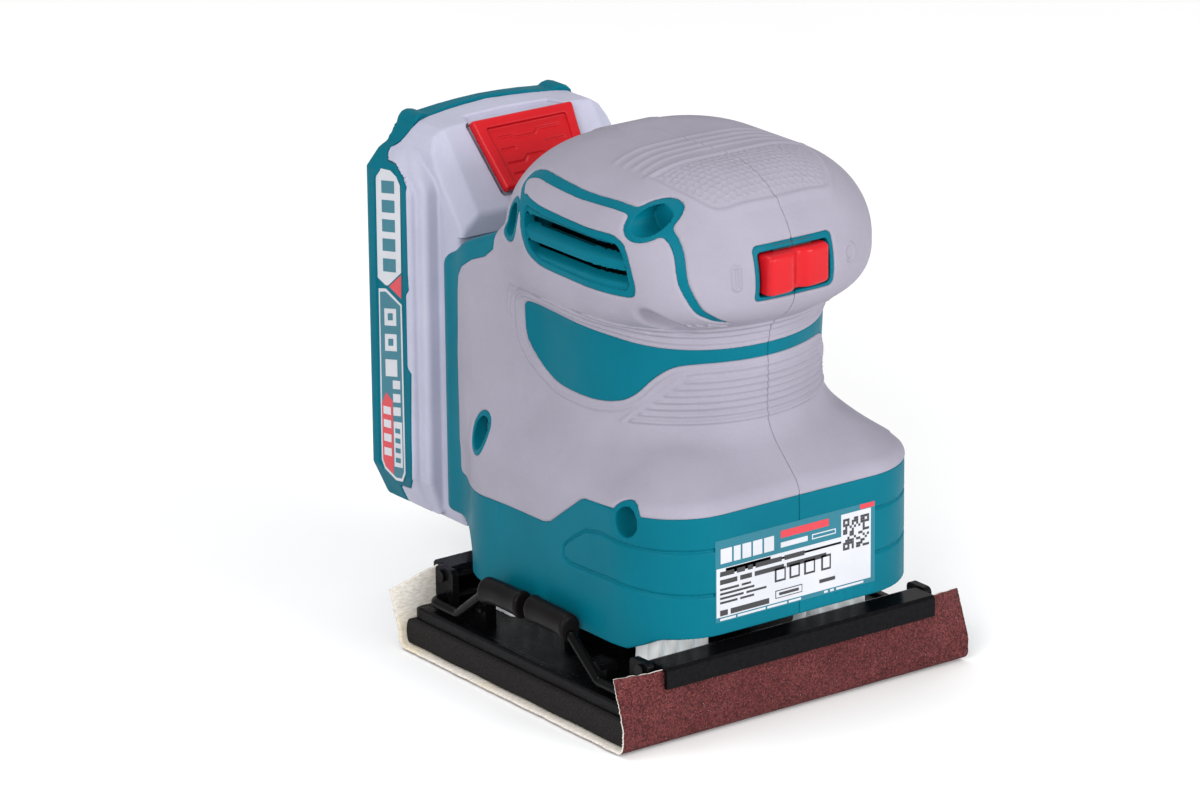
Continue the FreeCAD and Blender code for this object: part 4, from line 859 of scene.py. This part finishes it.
# in (y, z): the seam between the two shells, closed round the rear one, and the outline of the side labels
SHELL_SEAM = [(72.3, 36.3), (71.7, 66.7), (73.3, 68.2), (73.3, 88.6), (71.9, 90.4), (72.3, 94.0),
              (72.4, 118.4), (74.5, 120.6), (80.0, 123.0), (83.9, 123.2), (85.6, 124.4), (86.8, 125.8),
              (84.6, 127.6), (83.6, 129.3), (82.6, 131.0), (81.8, 133.0), (81.6, 150), (120, 150), (120, 0),
              (80.8, 0), (80.8, 32.1), (75.7, 32.6)]
LABEL_EDGE = [(75.0, 119.6), (77.2, 122.0), (83.0, 121.8), (86.6, 118.4), (86.9, 37.6), (85.4, 35.5),
              (79.8, 33.4), (76.3, 33.9), (74.8, 37.0)]


def slope_axes(y, z):
    """Distance up the sloping face from its foot, and height above the face."""
    dy, dz = y - SLOPE_FOOT[0], z - SLOPE_FOOT[1]
    return dy * SLOPE_RUN[0] + dz * SLOPE_RUN[1], dz * SLOPE_RUN[0] - dy * SLOPE_RUN[1]


def arch(x, z):
    """How far the seam bows back across the top of the battery."""
    return np.maximum(4.7 - 0.0062 * x * x, 0) * ramp(z, 104, 120)


def rear_part(x, y, z):
    """Negative where the teal rear shell is."""
    return polygon(y - arch(x, z), z, SHELL_SEAM)


def pack_body(x, y, z):
    """The battery without its rim: three tiers, the slope with bevelled flanks, and the latch's pocket."""
    up, over = slope_axes(y, z)
    back = meet(meet(polygon(x, z, OUTER_TIER), OUTER_FACE - y, 1.8), y - PACK_REAR, 3.0)
    back = meet(back, 0.813 * (z - 118.6) - 0.582 * (y - OUTER_FACE), 2.5)
    middle = meet(meet(polygon(x, z, MIDDLE_TIER), MIDDLE_FACE - y, 1.8), y - 90)
    middle = meet(middle, 0.817 * (z - 119.4) - 0.576 * (y - MIDDLE_FACE), 2.5)
    face = np.where(z > 107, 55.6, 57.3)
    front = meet(meet(polygon(x, z, FRONT_TIER), face - y, 1.4), y - 90)
    front = meet(front, meet(over + 2.0, 0.9 * (over + 2.4) + 0.45 * (np.abs(x) - 25.0), 0.3), 0.8)
    overhang = meet(front, 0.9 - column_top(y, z), 0.6)
    front = np.where(y < 57.3, overhang, front)
    f = join(join(front, middle, 1.0), back, 1.0)
    pocket = meet(rounded_rect(x * 17.0 / (14.7 + 0.12 * up), up - 9.9, 17.0, 11.0, 1.2), np.abs(over) - 4.7)
    recess = meet(np.abs(x) - 14.0 - 0.35 * (77.2 - y), meet(y - 77.2, 132.3 - z), 0.3)
    return carve(f, join(pocket, recess), 0.5)


def rim(x, y, z):
    """The rear shell's arched rim with its two ears."""
    return meet(meet(polygon(x, z, REAR_FACE), y - PACK_REAR, 3.0), 80.6 + arch(x, z) - y)


def battery_openings(x, y, z):
    """The recess for the label strip on each side."""
    return meet(polygon(y, z, LABEL_EDGE) - 0.25, PACK_HALF - 0.35 - np.abs(x))


def pack_shell(solid, zone):
    """The skin of a solid where zone is negative."""
    def field(x, y, z):
        f = solid(x, y, z)
        return meet(meet(carve(f, battery_openings(x, y, z), 0.3), zone(x, y, z) + 0.05, 0.4), -f - 1.6)
    return field


def with_rim(x, y, z):
    return join(pack_body(x, y, z), rim(x, y, z), 0.4)


def front_part(x, y, z):
    return -rear_part(x, y, z)


LATCH_LINES = ([(-9.8, 14.6), (-5.6, 14.6), (-4.4, 13.8), (1.6, 13.8), (3.0, 15.0), (10.0, 15.0)],
               [(-10.0, 11.0), (-6.0, 11.0)], [(4.6, 11.2), (10.4, 11.2)],
               [(-9.8, 6.8), (-4.6, 6.8), (-3.2, 8.2), (1.8, 8.2), (3.2, 7.2), (9.6, 7.2)],
               [(-9.2, 3.6), (-3.0, 3.6), (-1.8, 4.4), (9.4, 4.4)])


def latch(x, y, z):
    """The red button: a slightly tapered plate with a raised border and broken engraved lines."""
    up, over = slope_axes(y, z)
    half = 14.2 + 0.12 * up
    outline = rounded_rect(x * 16.6 / half, up - 10.1, 16.6, 10.5, 1.0)
    f = meet(meet(outline, over - 0.4 - 0.2 * ramp(up, 14, 20), 1.4), -1.95 - over, 0.3)
    inner = rounded_rect(x * 13.4 / (half - 3.2), up - 9.2, 13.4, 8.4, 0.9)
    f = carve(f, meet(inner, -0.55 - over, 0.5), 0.5)
    for line in LATCH_LINES:
        bent = [(u, v, 0.0, 0.42) for u, v in line]
        f = carve(f, ribbon(x, up, over + 0.5, bent), 0.25)
    return f


def add_battery():
    low, high = (-38, 53, 22), (38, 94, 137)
    field_piece("battery_shell_rear", pack_shell(with_rim, rear_part), low, high, 0.5,
                "battery", "battery_teal", "battery_rear_shell")
    field_piece("battery_shell_front", pack_shell(pack_body, front_part), low, high, 0.5,
                "battery", "battery_grey", "battery_front_shell")
    field_piece("latch_plate", latch, (-18, 53, 114), (18, 75, 138), 0.35,
                "latch", "red_plastic", "latch_button")
    add_side_labels()


def panel(points, thick):
    """A thin plate standing out along X: an outline in 3-D points, and its copy thick away."""
    n = len(points)
    faces = [list(range(n)), list(range(2 * n - 1, n - 1, -1))]
    faces += [[i, i + n, (i + 1) % n + n, (i + 1) % n] for i in range(n)]
    if thick < 0:
        faces = [f[::-1] for f in faces]
    return list(points) + [(x + thick, y, z) for x, y, z in points], faces


INKS = {word: moulded("ink_" + word, colour, rough, grain=500, strength=0.1, wear=0.0)
        for word, colour, rough in (("white", (0.47, 0.48, 0.52), 0.4), ("teal", (0.0, 0.12, 0.17), 0.35),
                                    ("red", (0.5, 0.025, 0.04), 0.35), ("black", (0.02, 0.02, 0.024), 0.3))}


def add_print(name, points, faces, paint, body, node):
    """A printed piece, with the ink that paint names for each face."""
    order = list(INKS)
    indices = [order.index(word) for word in paint]
    add_piece(name, points, faces, body, "label_film", [node], list(INKS.values()), indices, False)


def slanted(y0, y1, z0, z1, lean):
    """A block in (y, z) whose ends slant."""
    return [(y0, z0 + lean), (y1, z0), (y1, z1 - lean), (y0, z1)]


LOWER_FRAME = [(86.4, 87.2), (82.9, 88.0), (75.5, 85.2), (75.4, 37.3), (76.8, 34.6), (79.9, 34.2),
               (85.2, 36.1), (86.7, 38.3)]
LOWER_FIELD = [(85.8, 86.4), (83.1, 87.1), (76.2, 84.7), (76.1, 37.6), (77.2, 35.4), (79.8, 35.0),
               (84.8, 36.8), (86.0, 38.6)]
# the labels on the battery's sides: (outline in (y, z), colour, layer), with blocks where words would be
LABEL_ART = [
    ([(86.6, 118.6), (84.0, 121.4), (79.6, 121.8), (76.9, 120.7), (75.2, 118.6), (75.5, 94.2), (81.7, 89.2),
      (83.0, 88.9), (86.7, 90.2)], "white", 0),
    ([(75.5, 93.6), (75.7, 86.9), (81.4, 88.9)], "red", 0),
    (LOWER_FRAME, "white", 0), (LOWER_FIELD, "teal", 1),
    ([(86.0, 54.6), (83.8, 58.4), (80.8, 56.6), (80.9, 35.6), (84.8, 36.9), (86.0, 38.7)], "red", 2),
    ([(80.5, 50.9), (76.5, 51.6), (76.5, 38.6), (80.5, 38.0)], "white", 2),
]
# rows of slanted blocks: (from y, to y, height, slant, colour, layer, the z of each one's foot)
for y0, y1, high, lean, colour, layer, feet in (
        (77.9, 84.0, 4.6, 1.1, "teal", 1, (114.6, 109.2, 103.8, 98.4)),
        (77.9, 84.0, 4.8, 1.1, "teal", 1, (92.6,)),
        (78.2, 83.8, 6.0, 1.2, "white", 2, (77.4, 70.2, 63.0)),
        (79.8, 82.2, 2.6, 0.6, "teal", 3, (79.2, 72.0)),
        (77.0, 80.5, 3.1, 0.7, "white", 2, (60.2, 56.4, 52.6)),
        (77.4, 79.8, 1.7, 0.3, "teal", 3, (39.4, 42.2, 45.0, 47.8)),
        (81.7, 85.2, 2.6, 0.4, "white", 3, (40.2, 44.2, 48.2, 52.0))):
    LABEL_ART += [(slanted(y0, y1, foot, foot + high, lean), colour, layer) for foot in feet]


def add_side_labels():
    points, faces, paint = [], [], []
    for side in (-1, 1):
        for outline, colour, layer in LABEL_ART:
            x = side * (PACK_HALF - 0.3 + 0.03 * layer)
            turned = outline if side * turning(outline) > 0 else outline[::-1]
            more, flat = panel([(x, y, z) for y, z in turned], side * 0.05)
            faces += [[i + len(points) for i in f[::-1]] for f in flat]
            paint += [colour] * len(flat)
            points += more
    add_print("battery_side_labels", points, faces, paint, "battery", "battery_labels")


def turning(outline):
    """Positive for an outline that runs anticlockwise."""
    return sum(a[0] * b[1] - b[0] * a[1] for a, b in zip(outline, outline[1:] + outline[:1]))


# ---- the switch ----

def rocker(x, y, z):
    """Two smooth humps either side of a soft valley, tilted to off."""
    turn = math.radians(6)
    px, py = x, y + 46.5
    u = px * math.cos(turn) + py * math.sin(turn)
    v = -px * math.sin(turn) + py * math.cos(turn)
    front = 5.25 - 1.7 * np.exp(-((u / 2.2) ** 2)) - 0.5 * (u / 10.6) ** 2
    f = meet((-v - front) * 0.85, np.abs(u) - 10.55, 1.6)
    f = meet(f, np.abs(z - 119.05) - 5.35, 1.5)
    return meet(f, v - 2.5, 0.5)


# ---- the levers ----

# the sleeves' distance from the centre plane
SLEEVE_X = 50.3


def sleeve(front, rear, rise, tip):
    """A rubber sleeve along a lever's end: oval, flared at both ends, and bent down towards y = tip."""
    middle, half = (front + rear) / 2, (rear - front) / 2

    def field(x, y, z):
        along = (y - middle) / half
        bend = np.clip((y - middle) / (tip - middle), 0, 1.2)
        level = rise - 0.9 * bend**2.5
        flare = 0.5 * np.abs(along) ** 4
        tube = (np.hypot((x + SLEEVE_X) / 2.9, (z - level) / 3.5) - 1) * 3.1 - flare
        return meet(tube, np.abs(y - middle) - half, 1.4)
    return field


def add_sleeves():
    for word, front, rear, rise, tip in (("front", -20.0, -2.7, 24.9, -20.0), ("rear", 0.7, 18.2, 24.5, 18.2)):
        low, high = (-55, front - 2, 18), (-46, rear + 2, 30)
        field_piece(f"sleeve_{word}", sleeve(front, rear, rise, tip), low, high, 0.35,
                    f"{word}_lever", "sleeve_rubber", f"{word}_lever_grip")


# ---- the rating plate ----

def skirt_front(x, lift):
    """Y of the skirt's front at x, so that the label follows its corners."""
    half, front, _, r, _ = SKIRT
    over = max(abs(x) - half + r, 0)
    return -(front - r + math.sqrt(max((r + lift) ** 2 - over * over, 0)))


def add_rating_plate():
    """The printed plate: blocks and bars where the words and marks would be."""
    points, faces, paint = [], [], []

    def put(x0, x1, z0, z1, colour, layer):
        """One block of ink, bent round the skirt in short steps; a higher layer stands out further."""
        steps = max(1, int((x1 - x0) / 2.5))
        xs = [x0 + (x1 - x0) * i / steps for i in range(steps + 1)]
        low_in, high_in, low_out, high_out = (len(points) + k * len(xs) for k in range(4))
        for depth in (0.02, 0.05 + 0.035 * layer):
            for z in (z0, z1):
                points.extend((x, skirt_front(x, depth) + 0.3, z) for x in xs)
        for i in range(steps):
            j = i + 1
            faces.append((low_out + i, low_out + j, high_out + j, high_out + i))
            faces.append((low_in + i, low_out + i, low_out + j, low_in + j))
            faces.append((high_in + j, high_out + j, high_out + i, high_in + i))
            faces.append((low_in + j, high_in + j, high_in + i, low_in + i))
        for i in (0, steps):
            ring = (low_in + i, high_in + i, high_out + i, low_out + i)
            faces.append(ring if i == 0 else ring[::-1])
        paint.extend([colour] * (4 * steps + 2))

    # the plate, and the white ground of its left, middle, right and upper parts
    put(-27.2, 24.8, 29.6, 51.8, "teal", 0)
    put(-26.9, -9.5, 30.9, 44.0, "white", 1)
    put(-9.5, 13.6, 30.9, 43.0, "white", 1)
    put(13.6, 23.4, 30.9, 50.2, "white", 1)
    put(-26.9, 13.6, 42.4, 44.2, "white", 1)
    # header: a mark, a red tag and a framed word
    for x0, x1 in ((-25.6, -22.0), (-21.4, -19.2), (-18.6, -15.8), (-15.2, -12.2), (-11.6, -8.4)):
        put(x0, x1, 45.4, 49.4, "white", 1)
    put(-6.2, 9.5, 48.2, 50.2, "red", 1)
    put(-6.2, 2.6, 45.6, 47.0, "white", 1)
    put(4.0, 11.8, 45.6, 47.0, "white", 1)
    put(4.3, 11.5, 45.9, 46.7, "teal", 2)
    put(19.8, 24.6, 50.4, 51.7, "red", 1)
    # rows of bars: each row's height, its bars' height and their widths
    for z, high, widths in (
            (42.6, 1.3, (4.5, 2.6, 1.6, 8.5, 6.5)), (40.4, 1.3, (5.5, 3.8, 9.5, 13.0)), (38.4, 0.6, (6.0, 3.0)),
            (37.2, 0.6, (11.0,)), (36.0, 0.6, (7.5, 6.5)), (34.8, 0.6, (5.5, 4.5)), (32.0, 1.5, (2.4, 12.5))):
        x = -25.8
        for width in widths:
            put(x, x + width, z - high / 2, z + high / 2, "black", 2)
            x += width + 0.9
    # four framed boxes, a framed bar and the small bars along the foot
    middle = 38.4
    for x, w, h in ((-8.2, 3.6, 3.8), (-3.4, 3.4, 3.8), (1.4, 3.6, 3.9), (7.0, 3.2, 4.2)):
        put(x, x + w, middle - h / 2, middle + h / 2, "black", 2)
        put(x + 0.6, x + w - 0.5, middle - h / 2 + 0.6, middle + h / 2 - 0.6, "white", 3)
    put(-8.0, 0.8, 32.0, 34.2, "black", 2)
    put(-7.75, 0.55, 32.25, 33.95, "white", 3)
    put(-6.8, -0.4, 32.7, 33.5, "black", 4)
    put(6.4, 11.6, 33.0, 34.0, "black", 2)
    for x, w in ((-25.8, 5.0), (-20.2, 9.0), (-10.6, 6.4), (-3.6, 4.0), (8.0, 1.2), (10.0, 1.2), (12.0, 9.0)):
        put(x, x + w, 29.95, 30.55, "white", 1)
    # a square of checks in no order, with a ring in three of its corners
    shuffled = np.random.default_rng(7)
    checks, pitch, check = 12, 0.72, 0.68
    for i in range(checks):
        for j in range(checks):
            edge_i, edge_j = min(i, checks - 1 - i), min(j, checks - 1 - j)
            corner = edge_i < 3 and edge_j < 3 and not (i > 5 and j < 6)
            ring = corner and (edge_i != 1 or edge_j != 1)
            if ring or (not corner and shuffled.random() < 0.5):
                x, z = 14.2 + i * pitch, 40.2 + j * pitch
                put(x, x + check, z, z + check, "black", 2)
    add_print("printed_plate", points, faces, paint, "housing", "rating_plate")


# ---- the platen: foam, paper and legs ----

# the Y of the pad's middle
PAD_Y = -0.8


def foam(x, y, z):
    """The cushion under the plate, a little bulged and uneven at its sides."""
    bulge = 0.35 * np.cos((z - 4.2) / 3.6 * 1.5) + 0.12 * np.sin(x * 0.31 + 1) + 0.12 * np.sin(y * 0.27)
    side = rounded_rect(x, y - PAD_Y, 54.6 + bulge, 49.6 + bulge, 1)
    return meet(side, np.abs(z - 4.2) - 3.5, 1.0)


# the sheet's half width, half length and half thickness
SHEET_HALF, SHEET_REACH, SHEET_SKIN = 56.9, 69.5, 0.28


def paper_line(x, s):
    """The sheet's middle surface: (y, z) at a distance s along the strip, negative to the front flap."""
    end = max(abs(x) - 42, 0) / 15
    half, bend, sole = 50.2, 2.4, 0.3
    flat = half - bend
    front = s < 0
    run = abs(s)
    if run <= flat:
        y, z = run, sole
    elif run <= flat + bend * math.pi / 2:
        a = (run - flat) / bend
        y, z = flat + bend * math.sin(a), sole + bend * (1 - math.cos(a))
    else:
        lift = run - flat - bend * math.pi / 2
        y, z = half, sole + bend + lift
        z -= 0.25 * math.sin(x * 0.09 + 1.3) if front else 0
        wave = 0.5 * math.sin(x * 0.075 + 0.8) + 0.35 * math.sin(x * 0.16 + 2.0)
        y += (0.55 + wave * 0.6) * math.sin(min(lift / 16.0, 1) * math.pi)
        curl = end**1.6 * max(lift - 4, 0) / 13
        if front:
            y -= 3.6 * curl if x < 0 else 4.6 * curl
            z -= (0.5 if x < 0 else 1.8) * end**2 * lift / 17
        else:
            y += (4.2 if x < 0 else 1.2) * curl * end**0.5
            z -= 5.6 * end**1.6 * lift / 17 if x < 0 else 0
    return (PAD_Y - y, z) if front else (PAD_Y + y, z)


def add_paper():
    """The abrasive sheet: grit outside, cream paper inside, with a rough-cut edge."""
    across = np.linspace(-SHEET_HALF, SHEET_HALF, 115)
    flap = np.linspace(46, SHEET_REACH, 64)
    along = np.concatenate([-flap[::-1], np.linspace(-45, 45, 46), flap])
    rows, cols = len(across), len(along)
    middle = np.array([[(x, *paper_line(x, s)) for s in along] for x in across])
    ragged = np.random.default_rng(11)
    for j in range(cols):
        middle[0, j, 0] += ragged.normal(0, 0.09)
        middle[-1, j, 0] -= abs(ragged.normal(0, 0.09))
    for i in range(rows):
        middle[i, 0, 2] += ragged.normal(0, 0.12)
        middle[i, -1, 2] += ragged.normal(0, 0.12)
    normal = np.cross(np.gradient(middle, axis=0), np.gradient(middle, axis=1))
    normal *= SHEET_SKIN / np.linalg.norm(normal, axis=2)[:, :, None]
    points = np.concatenate([(middle - normal).reshape(-1, 3), (middle + normal).reshape(-1, 3)])
    points[:, 2] = np.maximum(points[:, 2], 0.0)
    outer, inner = np.arange(2 * rows * cols).reshape(2, rows, cols)

    def skin(grid):
        return np.stack([grid[:-1, :-1], grid[:-1, 1:], grid[1:, 1:], grid[1:, :-1]], -1).reshape(-1, 4)

    def wall(a, b):
        return np.stack([a[1:], b[1:], b[:-1], a[:-1]], -1)

    grit = skin(outer)
    paper = np.concatenate([skin(inner)[:, [0, 3, 2, 1]],
                            wall(outer[:, 0], inner[:, 0]), wall(outer[:, -1], inner[:, -1])[:, ::-1],
                            wall(outer[0], inner[0])[:, ::-1], wall(outer[-1], inner[-1])])
    faces, paint = np.concatenate([grit, paper]), [0] * len(grit) + [1] * len(paper)
    add_piece("abrasive_sheet", points, faces, "platen", "abrasive_paper", ["sandpaper"],
              [FINISH["abrasive_paper"], PAPER_BACK], paint)


# each leg's distance from the middle along X and Y, its middle height and its posts' pitch
LEG_X, LEG_Y = 26.0, 31.0
LEG_MIDDLE, POST_PITCH = 21.9, 5.1


def leg(centre_x, centre_y):
    """Eight tapered posts between two flanges."""
    def field(x, y, z):
        px, py = x - centre_x, y - centre_y
        near_x = np.clip(np.round(px / POST_PITCH - 0.5), -2, 1) + 0.5
        near_y = np.clip(np.round(py / POST_PITCH - 0.5), -1, 0) + 0.5
        up = np.abs(z - LEG_MIDDLE)
        radius = 1.75 + 0.5 * ramp(up, 5, 10.5)
        posts = (np.hypot(px - near_x * POST_PITCH, py - near_y * POST_PITCH) - radius) * 0.95
        f = meet(posts, up - 11)
        slab = rounded_rect(px, py, 10.0, 5.0, 1.5)
        for height in (11.4, 32.4):
            f = join(f, meet(slab, np.abs(z - height) - 1.1, 0.6), 1.2)
        return f
    return field


def add_platen():
    pad = field_piece("foam_pad", foam, (-57, -53, -1), (57, 51, 9), 0.8, "platen", "pad_foam", "backing_pad")
    add_paper()
    for cx, across in ((-LEG_X, "left"), (LEG_X, "right")):
        for cy, along in ((-LEG_Y, "front"), (LEG_Y, "rear")):
            low, high = (cx - 11, cy - 6, 9), (cx + 11, cy + 6, 35)
            field_piece(f"posts_{along}_{across}", leg(cx, cy), low, high, 0.5,
                        "housing", "white_plastic", f"leg_{along}_{across}", 60000)


add_housing()
add_battery()
field_piece("rocker_cap", rocker, (-12, -54, 112), (12, -42, 126), 0.35,
            "rocker", "red_plastic", "switch_rocker")
add_sleeves()
add_rating_plate()
add_platen()

box = lambda corners: [list(c) for c in corners]
{"cad": box((cad_low, cad_high)), "visual": box(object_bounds())}
